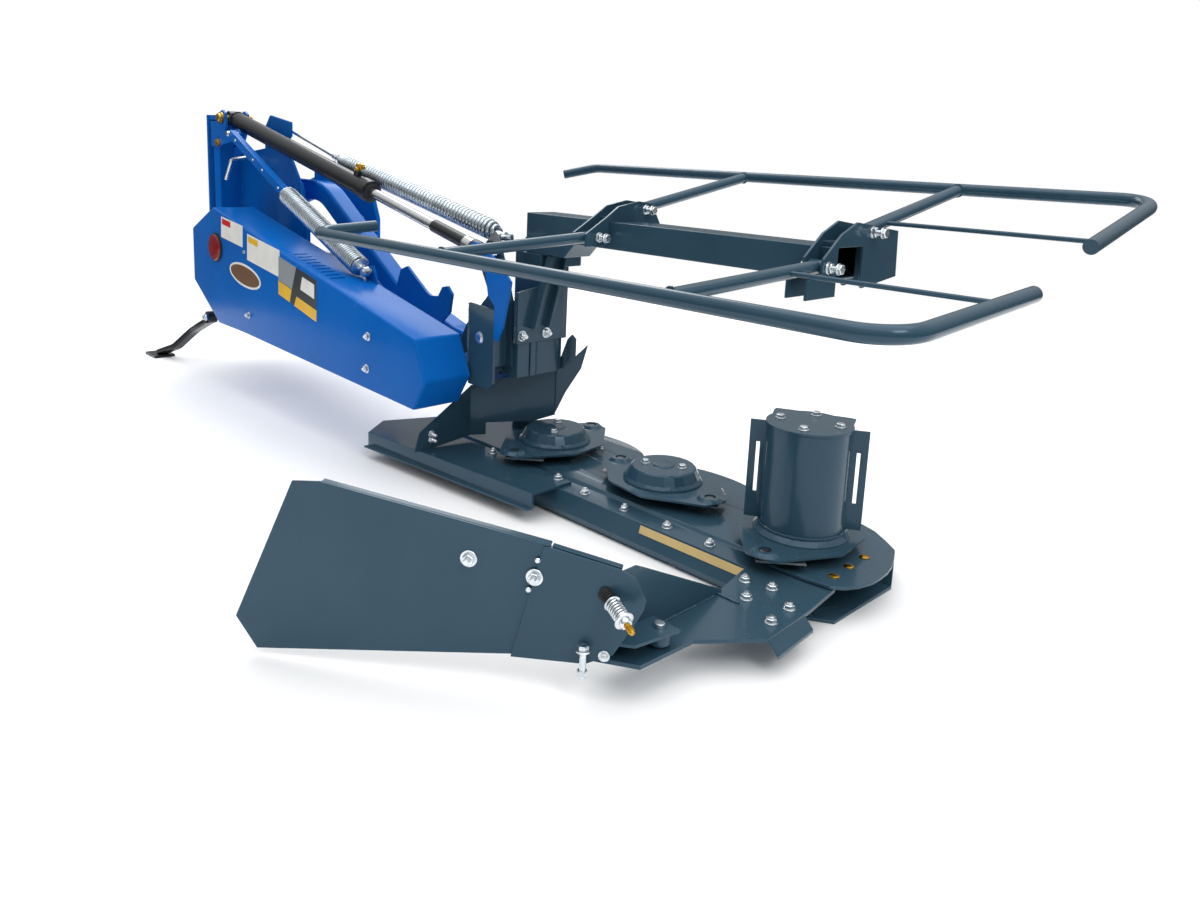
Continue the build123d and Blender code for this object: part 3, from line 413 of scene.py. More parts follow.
class Maker:
    """Gathers the parts of one piece in millimetres and makes the piece of them."""

    def __init__(self, seed=1):
        self.bm = bmesh.new()
        self.random = Random(seed)

    def ring(self, centre, u, v, radius, sides):
        """One ring of points round a centre."""
        return [self.bm.verts.new(centre + (u * cos(a) + v * sin(a)) * radius)
                for a in angles(sides)]

    def bridge(self, first, second):
        """Faces between two rings of the same count."""
        count = len(first)
        for i in range(count):
            j = (i + 1) % count
            self.bm.faces.new((first[i], first[j], second[j], second[i]))

    def skin(self, rings):
        """A skin over a row of rings, with a flat cap at each end."""
        for first, second in zip(rings, rings[1:]):
            self.bridge(first, second)
        self.bm.faces.new(list(reversed(rings[0])))
        self.bm.faces.new(rings[-1])

    def lathe(self, at, axis, profile, sides=28, turn=0.0):
        """A turned form: profile is a list of (radius, height along the axis)."""
        at, axis = Vector(at), Vector(axis).normalized()
        side = Vector(UP if abs(axis.z) < 0.9 else OUT)
        u = axis.cross(side).normalized()
        v = axis.cross(u)
        spin = Matrix.Rotation(turn, 3, axis)
        u, v = spin @ u, spin @ v
        self.skin([self.ring(at + axis * h, u, v, max(r, 0.01), sides) for r, h in profile])

    def wire(self, points, radius, sides=10):
        """A round wire or bead along points, with its section carried without twist."""
        points = [Vector(p) for p in points]
        radii = radius if isinstance(radius, (list, tuple)) else [radius] * len(points)
        tangent = (points[1] - points[0]).normalized()
        side = Vector(UP if abs(tangent.z) < 0.9 else FRONT)
        u = tangent.cross(side).normalized()
        rings = []
        for i, point in enumerate(points):
            ahead = points[min(i + 1, len(points) - 1)] - points[max(i - 1, 0)]
            tangent = ahead.normalized()
            u = (u - tangent * u.dot(tangent)).normalized()
            rings.append(self.ring(point, u, tangent.cross(u), radii[i], sides))
        self.skin(rings)

    def slab(self, outline, push):
        """A flat outline pushed by a vector."""
        self.skin([[self.bm.verts.new(Vector(p) + offset) for p in outline]
                   for offset in (Vector(), Vector(push))])

    def washer(self, at, axis, radius, thick=2.4):
        """A plain washer with a broken edge."""
        self.lathe(at, axis, [(radius - 0.4, 0), (radius, 0.4), (radius, thick - 0.5),
                              (radius - 0.5, thick)], 28)
        return Vector(at) + Vector(axis).normalized() * thick

    def hex_head(self, at, axis, across, height, turn=0.0):
        """A hexagon head with its chamfered crown."""
        corner = across / 2 / cos(pi / 6)
        self.lathe(at, axis, [(corner, 0), (corner, height * 0.82), (corner * 0.9, height * 0.97),
                              (corner * 0.86, height), (corner * 0.5, height)], 6, turn)

    def bolt(self, at, axis, across, washer, stud=0.0):
        """A bolt head on its washer, or a nut with the end of its thread."""
        top = self.washer(at, axis, washer) if washer else Vector(at)
        height = across * HEAD_SHARE
        turn = self.random.random() * pi / 3
        self.hex_head(top, axis, across, height, turn)
        if stud:
            self.thread(top + Vector(axis).normalized() * (height - 0.5), axis,
                        across * THREAD_SHARE, stud)

    def thread(self, at, axis, radius, length, pitch=2.0):
        """The threaded end of a bolt, as rings at the thread's pitch."""
        profile, h = [], 0.0
        while h + pitch <= length:
            profile += [(radius, h), (radius, h + pitch * 0.3),
                        (radius - pitch * 0.45, h + pitch * 0.6)]
            h += pitch
        profile += [(radius - 0.6, h), (radius - 1.4, length + 0.6)]
        self.lathe(at, axis, profile, 18)

    def bead(self, points, radius, step=5.0):
        """A weld bead: overlapping scales along a seam."""
        points = [Vector(p) for p in points]
        line = []
        for first, second in zip(points, points[1:]):
            count = max(2, int((second - first).length / step))
            line += [first.lerp(second, i / count) for i in range(count)]
        line.append(points[-1])
        wobble, radii = [], []
        for i, point in enumerate(line):
            shake = Vector([self.random.uniform(-0.5, 0.5) for _ in range(3)])
            wobble.append(point + shake)
            swell = 0.22 if i % 2 else -0.10
            radii.append(radius * (1.0 + swell + self.random.uniform(-0.08, 0.08)))
        self.wire(wobble, radii, 8)

    def ring_bead(self, centre, u, v, radius, steps, bead, step=5.0):
        """A weld bead round a tube or bar."""
        centre, u, v = Vector(centre), Vector(u), Vector(v)
        self.bead([centre + (u * cos(a) + v * sin(a)) * radius for a in angles(steps, 1)],
                  bead, step)

    def coil(self, start, end, radius, wire, turns, taper=(0.0, 0.0)):
        """A helix of round wire; taper is how many end turns draw in, and to what radius."""
        start, end = Vector(start), Vector(end)
        axis = (end - start).normalized()
        u = axis.cross(ACROSS).normalized()
        v = axis.cross(u)
        length = (end - start).length
        low, narrow = taper
        points = []
        total = int(turns * COIL_STEPS)
        for i in range(total + 1):
            t = i / total
            turn = t * turns
            inner = min(turn, turns - turn)
            r = narrow + (radius - narrow) * (inner / low) if inner < low else radius
            a = 2 * pi * turn
            points.append(start + axis * (length * t) + (u * cos(a) + v * sin(a)) * r)
        self.wire(points, wire / 2, 10)

    def each(self, method, rows):
        """Adds one part for each row of that method's values."""
        for row in rows:
            method(self, *row)
        return self

    def mesh(self):
        """The gathered parts as one mesh, in metres."""
        bmesh.ops.recalc_face_normals(self.bm, faces=self.bm.faces)
        bmesh.ops.scale(self.bm, vec=(MM, MM, MM), verts=self.bm.verts)
        mesh = bpy.data.meshes.new("made")
        self.bm.to_mesh(mesh)
        self.bm.free()
        return mesh

    def put(self, name, body, paint, width=0.0, sharp=EDGE_ANGLE):
        """Finishes the gathered parts as one piece."""
        return put(name, self.mesh(), body, paint, width, sharp)


def slab_piece(name, outline, push, body, paint, width=None):
    """One flat piece, cut to an outline, with the edges of cut plate if no width is given."""
    if width is None:
        width = sizes().plate_edge
    return Maker().each(Maker.slab, ((outline, push),)).put(name, body, paint, width)


def on_board(s, z, out=0.0):
    """A point on the swath board, s along it and out to the rear from its front face."""
    p = BOARD_START + BOARD_DIR * s + BOARD_NORMAL * out
    return Vector((p.x, p.y, z))


def at_y(point, y):
    """A point of the fold plane, given as (x, z), moved out to y."""
    return Vector((point[0], y, point[1]))


# The floor, the light of the white room by height, and the ceiling's light
FLOOR_CORNERS, FLOOR_Z = ((-3100, -3600), (3000, -3600), (3000, 3000), (-3100, 3000)), -0.5
WALL_STRENGTH, SKY_STRENGTH, SKY_HEIGHT = 0.10, 1.0, 0.8
CEILING_ENERGY, CEILING_ANGLE = 1.35, 70
# Soft boxes: name, place, aim, side in metres and power
LAMPS = (
    ("key_light", (3.6, -1.2, 3.4), (-0.2, 0.0, 0.3), 1.4, 45.0),
    ("rim_light", (-3.3, 1.7, 3.4), (-1.2, -0.28, 0.53), 2.4, 55.0),
)


class MOWER_OT_stage(bpy.types.Operator):
    """Adds the floor, the light and the camera at the photograph's angle"""
    bl_idname = "mower.stage"
    bl_label = "Stage"

    def execute(self, context):
        floor = Maker()
        floor.bm.faces.new([floor.bm.verts.new((x, y, FLOOR_Z)) for x, y in FLOOR_CORNERS])
        mesh = floor.mesh()
        mesh.materials.append(finish("studio_white"))
        thing = bpy.data.objects.new("floor", mesh)
        context.scene.collection.objects.link(thing)
        world = bpy.data.worlds.new("studio")
        context.scene.world = world
        world.use_nodes = True
        light_sky(world.node_tree)
        sun = bpy.data.lights.new("ceiling_light", "SUN")
        sun.energy, sun.angle = CEILING_ENERGY, radians(CEILING_ANGLE)
        context.scene.collection.objects.link(bpy.data.objects.new("ceiling_light", sun))
        for name, at, aim, size_m, power in LAMPS:
            lamp = bpy.data.lights.new(name, "AREA")
            lamp.shape, lamp.size, lamp.energy = "SQUARE", size_m, power
            holder = bpy.data.objects.new(name, lamp)
            holder.location = at
            holder.rotation_euler = (Vector(aim) - Vector(at)).to_track_quat("-Z", "Y").to_euler()
            context.scene.collection.objects.link(holder)
        context.scene.view_settings.view_transform = "Standard"
        place_camera(context)
        return {"FINISHED"}


def light_sky(tree):
    """A white room: full white behind the object, with its light growing towards the ceiling."""
    tree.nodes.clear()
    seen = add_node(tree, "ShaderNodeLightPath").outputs["Is Camera Ray"]
    way = add_node(tree, "ShaderNodeTexCoord").outputs["Generated"]
    height = add_node(tree, "ShaderNodeSeparateXYZ", {"Vector": way}).outputs["Z"]
    glow = add_node(tree, "ShaderNodeMapRange", {"Value": height},
                    {"From Max": SKY_HEIGHT, "To Min": WALL_STRENGTH, "To Max": SKY_STRENGTH})
    shown = add_node(tree, "ShaderNodeMath", {0: glow.outputs["Result"], 1: seen},
                     operation="MAXIMUM")
    back = add_node(tree, "ShaderNodeBackground", {"Strength": shown.outputs["Value"]},
                    {"Color": (1.0, 1.0, 1.0, 1.0)})
    add_node(tree, "ShaderNodeOutputWorld", {"Surface": back.outputs["Background"]})


# The camera that was fitted to the photograph: pixels of a 1200 x 900 image, degrees and mm
FOCAL_PX, CENTRE_PX = 900.6, (606.0, 319.5)
IMAGE_PX = (1200.0, 900.0)
YAW, PITCH, ROLL = 44.0, 10.2, 2.7
CAMERA_AT = (1409.6, -1696.6, 911.1)
SENSOR_MM, CLIP_END_M = 36.0, 60.0


def place_camera(context):
    """Puts the camera where the photograph was taken from."""
    yaw, pitch, roll = radians(YAW), radians(PITCH), radians(ROLL)
    ahead = Vector((-sin(yaw) * cos(pitch), cos(yaw) * cos(pitch), -sin(pitch)))
    level = Vector((cos(yaw), sin(yaw), 0))
    up = level.cross(ahead)
    right = level * cos(roll) + up * sin(roll)
    top = -level * sin(roll) + up * cos(roll)
    data = bpy.data.cameras.new("camera")
    data.sensor_fit = "HORIZONTAL"
    data.sensor_width = SENSOR_MM
    data.lens = SENSOR_MM * FOCAL_PX / IMAGE_PX[0]
    data.shift_x = (IMAGE_PX[0] / 2 - CENTRE_PX[0]) / IMAGE_PX[0]
    data.shift_y = (CENTRE_PX[1] - IMAGE_PX[1] / 2) / IMAGE_PX[0]
    data.clip_end = CLIP_END_M
    camera = bpy.data.objects.new("camera", data)
    camera.matrix_world = Matrix((
        (right.x, top.x, -ahead.x, CAMERA_AT[0] * MM),
        (right.y, top.y, -ahead.y, CAMERA_AT[1] * MM),
        (right.z, top.z, -ahead.z, CAMERA_AT[2] * MM),
        (0, 0, 0, 1)))
    context.scene.collection.objects.link(camera)
    context.scene.camera = camera


# Rows of Maker.bolt: place, axis, width across the flats, washer's radius and length of stud
PIN_NUTS = (((MAST_X, MAST_Y, 1003), UP, 24, 18), ((MAST_X, MAST_Y, 312), DOWN, 24, 18),
            ((MAST_X, -262, 205), REAR, 19, 14))
FLANGE_BOLTS = [((FOLD[0] + 55 * cos(a), -201, FOLD[1] + 55 * sin(a)), REAR, 12, 0)
                for a in (radians(-75 + 27 * i) for i in range(7))]
GUARD_BOLTS = [((x, GUARD_REAR_Y, z), REAR, across, washer, stud)
               for x, z, across, washer, stud in ((-1612, 315, 17, 13, 5), (-835, 374, 17, 13, 5),
                                                  (-842, 278, 17, 13, 5), (-1636, 533, 8, 6, 0))]
CASE_BOLTS = [((x, y, z), UP, 19, 13, 5) for x, y, z in
              ((-492, -160, 78), (-225, -156, 78), (-122, -158, 70), (16, -158, 70),
               (152, -158, 70), (278, -158, 70))]
CASE_BOLTS += [((x, 128, 70), UP, 13, 10) for x in (-600, -350, -60, 90, 350)]
TAIL_BOLTS = [((x, y, 70), UP, 19, 13, 5) for x, y in
              ((481, -301), (560, -270), (567, -342), (434, -240), (490, -226))]
DIVIDER_BOLTS = [((-629, -272, z), OUT, 15, 11, 16) for z in (104, 120)]
DRUM_BOLTS = [((DISC_X[3] + 66 * cos(a), 66 * sin(a), DRUM_TOP_Z), UP, 17, 12)
              for a in (radians(20 + 90 * i) for i in range(4))]

# Rows of Maker.bead: points of the seam and radius of the bead
ARM_SEAMS = (
    (((-2177, -113, 400), (-2177, -113, 858)), 3.0),
    (((-2060, -36, 775), (-1700, -46, 775)), 3.0),
    (((-1650, -101, 420), (-1650, -101, 600), (-1696, -101, 765)), 3.0),
)
FRAME_SEAMS = (
    (((-568, -193, 280), (-568, -193, 498)), 3.6),
    (((-439, -137, 400), (-439, -137, 536)), 4.0),
    (((-439, -60, 302), (-439, -60, 396)), 3.6),
    (((-505, -50, 681), (-350, -50, 681)), 3.0),
    (((-440, -49, 640), (-440, 104, 640)), 3.0),
    (((-440, -49, 601), (-490, -49, 601)), 3.0),
    (((-489, 40, 602), (-489, 104, 602)), 3.0),
)
TAIL_SEAMS = ((((434, -640, 71), (434, -345, 71)), 3.0), (((430, -330, 71), (484, -330, 71)), 3.0))

# Rows of Maker.lathe: place, axis, profile of (radius, height) and sides
PIN_HEAD = ((21, 0), (22, 1), (22, 8), (17, 10), (16, 17), (13, 19))
PIN_HEADS = (
    ((CYL_PIVOT[0], -208, CYL_PIVOT[1]), REAR, PIN_HEAD, 36),
    ((CYL_PIVOT[0], -112, CYL_PIVOT[1]), FRONT, PIN_HEAD, 36),
    ((-2163, -208, 898), REAR, ((16, 0), (16, 5), (10, 6), (10, 13), (8, 14))),
)
COVER_TOP_Z = 79
COVER_PLUGS = [((x, y, COVER_TOP_Z), UP, ((11, 0), (11, 2), (9, 3), (3, 3.2)), 24)
               for x, y in ((549, 40), (551, -29), (554, -95))]


class MOWER_OT_headstock(bpy.types.Operator):
    """Headstock, its pins and the stand bracket"""
    bl_idname = "mower.headstock"
    bl_label = "Headstock"

    def execute(self, context):
        dress_all("headstock", (("headstock", BLUE), ("king_pin", ZINC), ("hitch_pins", ZINC),
                                ("stand_bracket", BLUE)))
        dress("stand_leg", "stand", BLACK)
        Maker(3).each(Maker.bolt, PIN_NUTS).put("king_pin_nuts", "headstock", ZINC)
        return {"FINISHED"}


# The bent rod of the lock handle, and the boss that it turns in
HANDLE_ROD = ((-2080, -112, 848), (-2060, -196, 837), (-2057, -206, 831), (-2060, -206, 822),
              (-2104, -206, 761))
HANDLE_R, HANDLE_BOSS_AT, HANDLE_BOSS = 8.5, (-2082, -112, 848), ((12, 0), (12, 10), (9, 12))


class MOWER_OT_arm(bpy.types.Operator):
    """Mast, lift arm, catch plate and the plates on them"""
    bl_idname = "mower.arm"
    bl_label = "Arm"

    def execute(self, context):
        dress_all("arm", (("arm_mast", BLUE), ("cylinder_pin", YELLOW_ZINC), ("lift_arm", BLUE),
                          ("catch_plate", BLUE), ("strut_lug", BLUE), ("driven_flange", SLATE)))
        dress("pto_shaft", "input_shaft", STEEL)
        m = Maker()
        m.wire(HANDLE_ROD, HANDLE_R, 14)
        m.lathe(HANDLE_BOSS_AT, REAR, HANDLE_BOSS, 24)
        m.put("lock_handle", "arm", ZINC)
        Maker().each(Maker.lathe, PIN_HEADS).put("cylinder_pin_heads", "arm", YELLOW_ZINC)
        Maker(8).each(Maker.bead, ARM_SEAMS).put("arm_welds", "arm", BLUE)
        Maker(9).each(Maker.bolt, FLANGE_BOLTS).put("flange_bolts", "arm", YELLOW_ZINC)
        return {"FINISHED"}


# The guard's sheet: its thickness, and the radius and steps of its bends
SHEET, BEND_R, BEND_STEPS = 3, 7.0, 4
# Louvres in its sloping top: count, places along it, ends across it, width and depth of cut
LOUVRES, LOUVRE_X, LOUVRE_Y, LOUVRE_WIDTH, LOUVRE_CUT = 9, (-1334, -1098), (-322, -274), 9, 12


def guard_shell():
    """The guard's folded sheet: a rear face and eight sides, open towards the belt."""
    m = Maker()
    m.slab([(x, GUARD_REAR_Y, z) for x, z in GUARD_OUTLINE], (0, GUARD_FRONT_Y - GUARD_REAR_Y, 0))
    open_side = [f for f in m.bm.faces if all(v.co.y > GUARD_FRONT_Y - 1 for v in f.verts)]
    bmesh.ops.delete(m.bm, geom=open_side, context="FACES_ONLY")
    bends = [e for e in m.bm.edges if len(e.link_faces) == 2]
    bmesh.ops.bevel(m.bm, geom=bends, offset=BEND_R, segments=BEND_STEPS, profile=0.5,
                    affect="EDGES", clamp_overlap=True)
    shell = bpy.data.objects.new("shell", m.mesh())
    bpy.context.scene.collection.objects.link(shell)
    skin = shell.modifiers.new("skin", "SOLIDIFY")
    skin.thickness, skin.offset = SHEET * MM, -1.0
    bake(shell)
    (x0, z0), (x1, z1) = GUARD_OUTLINE[0], GUARD_OUTLINE[-1]
    slope = Vector((x1 - x0, 0, z1 - z0)).normalized()
    cutter = Maker()
    for i in range(LOUVRES):
        x = LOUVRE_X[0] + (LOUVRE_X[1] - LOUVRE_X[0]) * i / (LOUVRES - 1)
        middle = Vector((x, 0, z0 + (x - x0) * (z1 - z0) / (x1 - x0)))
        corners = [middle + slope * (side * LOUVRE_WIDTH / 2) + Vector((0, y, 0))
                   for side, y in ((-1, LOUVRE_Y[0]), (1, LOUVRE_Y[0]),
                                   (1, LOUVRE_Y[1]), (-1, LOUVRE_Y[1]))]
        cutter.slab([c - Vector((0, 0, LOUVRE_CUT)) for c in corners], (0, 0, 2 * LOUVRE_CUT))
    knife = bpy.data.objects.new("knife", cutter.mesh())
    bpy.context.scene.collection.objects.link(knife)
    cut = shell.modifiers.new("slots", "BOOLEAN")
    cut.operation, cut.object, cut.solver = "DIFFERENCE", knife, "EXACT"
    bake(shell)
    bpy.data.objects.remove(knife)
    mesh = shell.data.copy()
    bpy.data.objects.remove(shell)
    return mesh


# Blank labels on the guard's rear face: name, finish, layer and corners as (x, z)
LABELS = (
    ("label_safety", "white_vinyl", 0, [(-1818, 641), (-1645, 621), (-1649, 547), (-1823, 567)]),
    ("label_safety_header", "red_vinyl", 1,
     [(-1810, 634), (-1742, 626), (-1743, 606), (-1811, 614)]),
    ("label_service", "white_vinyl", 0, [(-1610, 598), (-1374, 565), (-1378, 477), (-1615, 508)]),
    ("label_service_header", "yellow_vinyl", 1,
     [(-1602, 590), (-1530, 580), (-1531, 560), (-1603, 570)]),
    ("panel_dark", "graphite_vinyl", 0, [(-1381, 546), (-1133, 498), (-1136, 368), (-1385, 421)]),
    ("panel_grey", "grey_vinyl", 1, [(-1381, 546), (-1262, 523), (-1292, 449), (-1384, 469)]),
    ("panel_yellow_left", "yellow_vinyl", 1,
     [(-1384, 467), (-1294, 447), (-1308, 405), (-1385, 421)]),
    ("panel_yellow_right", "yellow_vinyl", 1,
     [(-1262, 430), (-1134, 404), (-1136, 368), (-1278, 398)]),
    ("panel_pale", "white_vinyl", 1, [(-1222, 498), (-1146, 483), (-1148, 438), (-1236, 456)]),
)
BADGE = (-1636, 450, radians(-6.3))
# The oval badge's rim and face: name, finish, half its length, half its height and lift
BADGE_LAYERS = (("badge_rim", "white_vinyl", 122, 40, 0.9),
                ("badge_face", "bronze_vinyl", 112, 32, 1.3))
REFLECTOR = (-1868, 525)
REFLECTOR_RIM = ((52, 0), (52, 6), (49, 8), (45, 6))
REFLECTOR_LENS = ((48, 2), (48, 7), (44, 11), (30, 14), (12, 15.5), (3, 16))
# Labels start just inside the face, and each layer stands out farther
LABEL_SINK, LABEL_LIFT, LAYER_LIFT = 0.1, 0.6, 0.5


class MOWER_OT_guard(bpy.types.Operator):
    """Belt guard with its bolts, blank labels, reflector and louvres"""
    bl_idname = "mower.guard"
    bl_label = "Belt guard"

    def execute(self, context):
        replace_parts(put("belt_guard_folded", guard_shell(), "arm", BLUE), "belt_guard")
        dress("belt_backplate", "arm", BLUE)
        Maker(5).each(Maker.bolt, GUARD_BOLTS).put("guard_bolts", "arm", ZINC)
        y = GUARD_REAR_Y + LABEL_SINK
        for name, material, layer, corners in LABELS:
            lift = LABEL_LIFT + LAYER_LIFT * layer
            slab_piece(name, [(x, y, z) for x, z in corners], (0, -lift, 0), "arm",
                       ("blue_paint", material), 0.0)
        bx, bz, tilt = BADGE
        for name, material, half, height, lift in BADGE_LAYERS:
            oval = [(half * cos(a), height * sin(a)) for a in angles(48)]
            slab_piece(name, [(bx + u * cos(tilt) - w * sin(tilt), y,
                               bz + u * sin(tilt) + w * cos(tilt)) for u, w in oval],
                       (0, -lift, 0), "arm", ("blue_paint", material), 0.0)
        at = at_y(REFLECTOR, GUARD_REAR_Y)
        for name, profile, paint in (("reflector_rim", REFLECTOR_RIM, RUBBER),
                                     ("reflector_lens", REFLECTOR_LENS,
                                      ("blue_paint", "red_acrylic"))):
            Maker().each(Maker.lathe, ((at, REAR, profile, 48),)).put(name, "arm", paint)
        return {"FINISHED"}


# How far each coil stays from the ends of its spring, and the float spring's drawn-in turns
FLOAT_GAPS, STRUT_GAPS, FLOAT_TAPER = (6, 46), (8, 36), (2.5, 10.0)
FLOAT_SHANK = ((8, 0), (8, 12), (6.5, 14), (6.5, 38))
FLOAT_EYE = ((15, 0), (16, 1), (16, 13), (15, 14))
FLOAT_PLUG = ((12, 0), (17, 3), (17, 16), (10, 20))
STRUT_COLLAR = ((29, 0), (30, 1), (30, 5), (28, 6))
STRUT_SEAT = ((28, 0), (29.5, 1), (29.5, 4), (14, 6), (13, 16))
STRUT_EYE = ((15, 0), (16, 1), (16, 19), (15, 20))
# The strut's channel: half width and rise, sheet of walls and lid, hang of the walls, overlap
CHANNEL_HALF, CHANNEL_SHEET, CHANNEL_LID, CHANNEL_HANG, CHANNEL_OVERLAP = 12, 4, 3.5, 15, 4
CHANNEL_PINS = (0.12, 0.45, 0.62, 0.9)


class MOWER_OT_springs(bpy.types.Operator):
    """Float spring, tension rod and sprung strut, as real coils"""
    bl_idname = "mower.springs"
    bl_label = "Springs"

    def execute(self, context):
        start, end = at_y(SPRING_START, SPRING_Y), at_y(SPRING_END, SPRING_Y)
        axis = (end - start).normalized()
        wire = sizes().float_wire / MM
        coil_r = FLOAT_COIL_R - wire / 2
        m = Maker()
        m.coil(start + axis * FLOAT_GAPS[0], end - axis * FLOAT_GAPS[1], coil_r, wire,
               sizes().float_turns, FLOAT_TAPER)
        m.wire([end - axis * 50 - Vector((0, 0, coil_r * 0.2)), end - axis * 34,
                end - axis * 20], 5)
        put_spring(m, "float_spring_coil", "float_spring")
        m = Maker()
        m.lathe(end - axis * 50, axis, FLOAT_SHANK, 20)
        m.lathe(end - ACROSS * 7, FRONT, FLOAT_EYE, 30)
        m.put("float_spring_eye", "arm", ZINC)
        hook = at_y(SPRING_HOOK, SPRING_Y)
        rod_axis = (start - hook).normalized()
        m = Maker()
        m.lathe(hook, rod_axis, [(7, 0), (7, 150), (6.4, 152),
                                 (6.4, (start - hook).length + 12)], 20)
        m.lathe(hook - ACROSS * 18, FRONT, [(7, 0), (7, 30)], 20)
        m.thread(start - rod_axis * 90, rod_axis, 7.4, 60, 3.0)
        m.bolt(start - rod_axis * 30, -rod_axis, 19, 12)
        m.bolt(start - rod_axis * 52, -rod_axis, 19, 0)
        m.lathe(start - rod_axis * 8, rod_axis, FLOAT_PLUG, 30)
        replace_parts(m.put("spring_tension_rod", "arm", ZINC), "spring_rod")

        middle, low = at_y(STRUT_MIDDLE, STRUT_Y), at_y(STRUT_END, STRUT_Y)
        down = (low - middle).normalized()
        wire = sizes().strut_wire / MM
        m = Maker()
        m.coil(middle + down * STRUT_GAPS[0], low - down * STRUT_GAPS[1], STRUT_COIL_R - wire / 2,
               wire, sizes().strut_turns)
        put_spring(m, "strut_spring_coil", "strut_spring")
        m = Maker()
        m.lathe(middle, down, [(9, 0), (9, 540), (8, (low - middle).length)], 20)
        m.lathe(middle, down, STRUT_COLLAR, 36)
        m.lathe(low - down * 34, down, STRUT_SEAT, 36)
        m.lathe(low - ACROSS * 13, FRONT, [(9, 0), (9, 33)], 20)
        m.lathe(low - ACROSS * 10, FRONT, STRUT_EYE, 28)
        m.bolt(low - ACROSS * 8, REAR, 13, 0)
        m.put("strut_inner_rod", "arm", ZINC)
        build_strut_channel()
        return {"FINISHED"}


def put_spring(maker, name, node):
    """Finishes one coil as the piece that stands for its CAD solid."""
    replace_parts(maker.put(name, "arm", ZINC_WIRE, sharp=60), node)


def build_strut_channel():
    """The folded channel over the strut's upper half, with its cross pins."""
    top, middle = at_y(STRUT_TOP, STRUT_Y), at_y(STRUT_MIDDLE, STRUT_Y)
    down = (middle - top).normalized()
    high = down.cross(ACROSS).normalized()
    length = (middle - top).length
    tip = top + down * (length + CHANNEL_OVERLAP)
    m = Maker()
    for side in (-1, 1):
        wall = ACROSS * (side * CHANNEL_HALF)
        m.slab([top + wall - high * CHANNEL_HANG, top + wall + high * CHANNEL_HALF,
                tip + wall + high * CHANNEL_HALF, tip + wall - high * CHANNEL_HANG],
               (0, -side * CHANNEL_SHEET, 0))
    m.slab([end + high * CHANNEL_HALF + ACROSS * (side * CHANNEL_HALF)
            for end, side in ((top, -1), (top, 1), (tip, 1), (tip, -1))], high * CHANNEL_LID)
    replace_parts(m.put("strut_channel_folded", "arm", BLUE, sizes().plate_edge), "strut_channel")
    m = Maker()
    for share in CHANNEL_PINS:
        at = top + down * (length * share) - ACROSS * 15
        m.lathe(at, FRONT, [(4.5, 0), (5, 0.8), (5, 29)], 18)
    m.lathe(top - ACROSS * 19, FRONT, [(9, 0), (10, 1), (10, 48)], 24)
    m.bolt(top - ACROSS * 15, REAR, 17, 0)
    m.put("strut_pins", "arm", ZINC)


# The barrel's welds from its foot and its mouth; the port from the mouth, its sink and height
WELD_FOOT, WELD_BACK, PORT_BACK, PORT_SINK, PORT_TALL = 34, 46, 92, 3, 17
ROD_SLEEVE_BACK, ROD_SLEEVE = 250, ((17, 0), (19, 3), (19, 190), (23, 196), (23, 226))
GLAND_WIPER = ((27, 0), (27, 3), (22, 6), (18, 7))


class MOWER_OT_cylinder(bpy.types.Operator):
    """Lift cylinder with its gland, port, elbow and chromed rod"""
    bl_idname = "mower.cylinder"
    bl_label = "Lift cylinder"

    def execute(self, context):
        dress("cylinder_barrel", "lift_barrel", BLACK)
        dress("cylinder_rod", "lift_rod", CHROME)
        pivot, eye = at_y(CYL_PIVOT, CYL_Y), at_y(CYL_EYE, CYL_Y)
        axis = (eye - pivot).normalized()
        high = Vector((-axis.z, 0, axis.x))
        m = Maker(8)
        for reach in (WELD_FOOT, BARREL_LENGTH - WELD_BACK):
            m.ring_bead(pivot + axis * reach, high, FRONT, BARREL_R + 0.5, 40, 2.6)
        port = pivot + axis * (BARREL_LENGTH - PORT_BACK) + high * (BARREL_R - PORT_SINK)
        m.lathe(port, high, [(13, 0), (13, 16), (12, 17)], 24)
        m.put("barrel_welds_and_port", "lift_barrel", BLACK)
        m = Maker()
        top = port + high * PORT_TALL
        m.hex_head(top, high, 19, 9)
        m.lathe(top + high * 9, high, [(6.5, 0), (6.5, 6)], 20)
        knee = top + high * 17
        m.lathe(knee - high * 5, high, [(8, 0), (8, 9), (6, 11)], 20)
        m.lathe(knee, axis, [(6.5, 0), (6.5, 14)], 20)
        m.hex_head(knee + axis * 14, axis, 17, 12)
        m.lathe(knee + axis * 26, axis, [(5, 0), (5, 8)], 18)
        m.put("port_elbow", "lift_barrel", BRASS)
        m = Maker()
        m.lathe(pivot + axis * ((eye - pivot).length - ROD_SLEEVE_BACK), axis, ROD_SLEEVE, 32)
        m.put("rod_end_sleeve", "lift_rod", BLACK)
        m = Maker()
        m.lathe(pivot + axis * (BARREL_LENGTH - 1), axis, GLAND_WIPER, 36)
        m.put("gland_wiper", "lift_barrel", RUBBER)
        return {"FINISHED"}


# The frame's box, as (x, z), stands on both sides of the slot that the catch plate swings through
FRAME_BOX_Y = ((-124, -80), (-56, 30))
FRAME_BOX = ((-520, 322), (-520, 500), (-440, 520), (-440, 300), (-500, 300))
# Rows of Maker.slab: outline and push
SLOT_COVER = (((-440, -80, 300), (-440, -56, 300), (-440, -56, 399), (-440, -80, 399)), (4, 0, 0))
CHANNEL_FLANGES = [(((-431, y, 440), (-431, y + 8, 440), (-431, y + 66, 638),
                     (-431, y + 58, 638)), (26, 0, 0)) for y in (-96, -44)]
CHANNEL_WEB = (((-431, -92, 440), (-431, -40, 440), (-431, 18, 638), (-431, -34, 638)), (7, 0, 0))
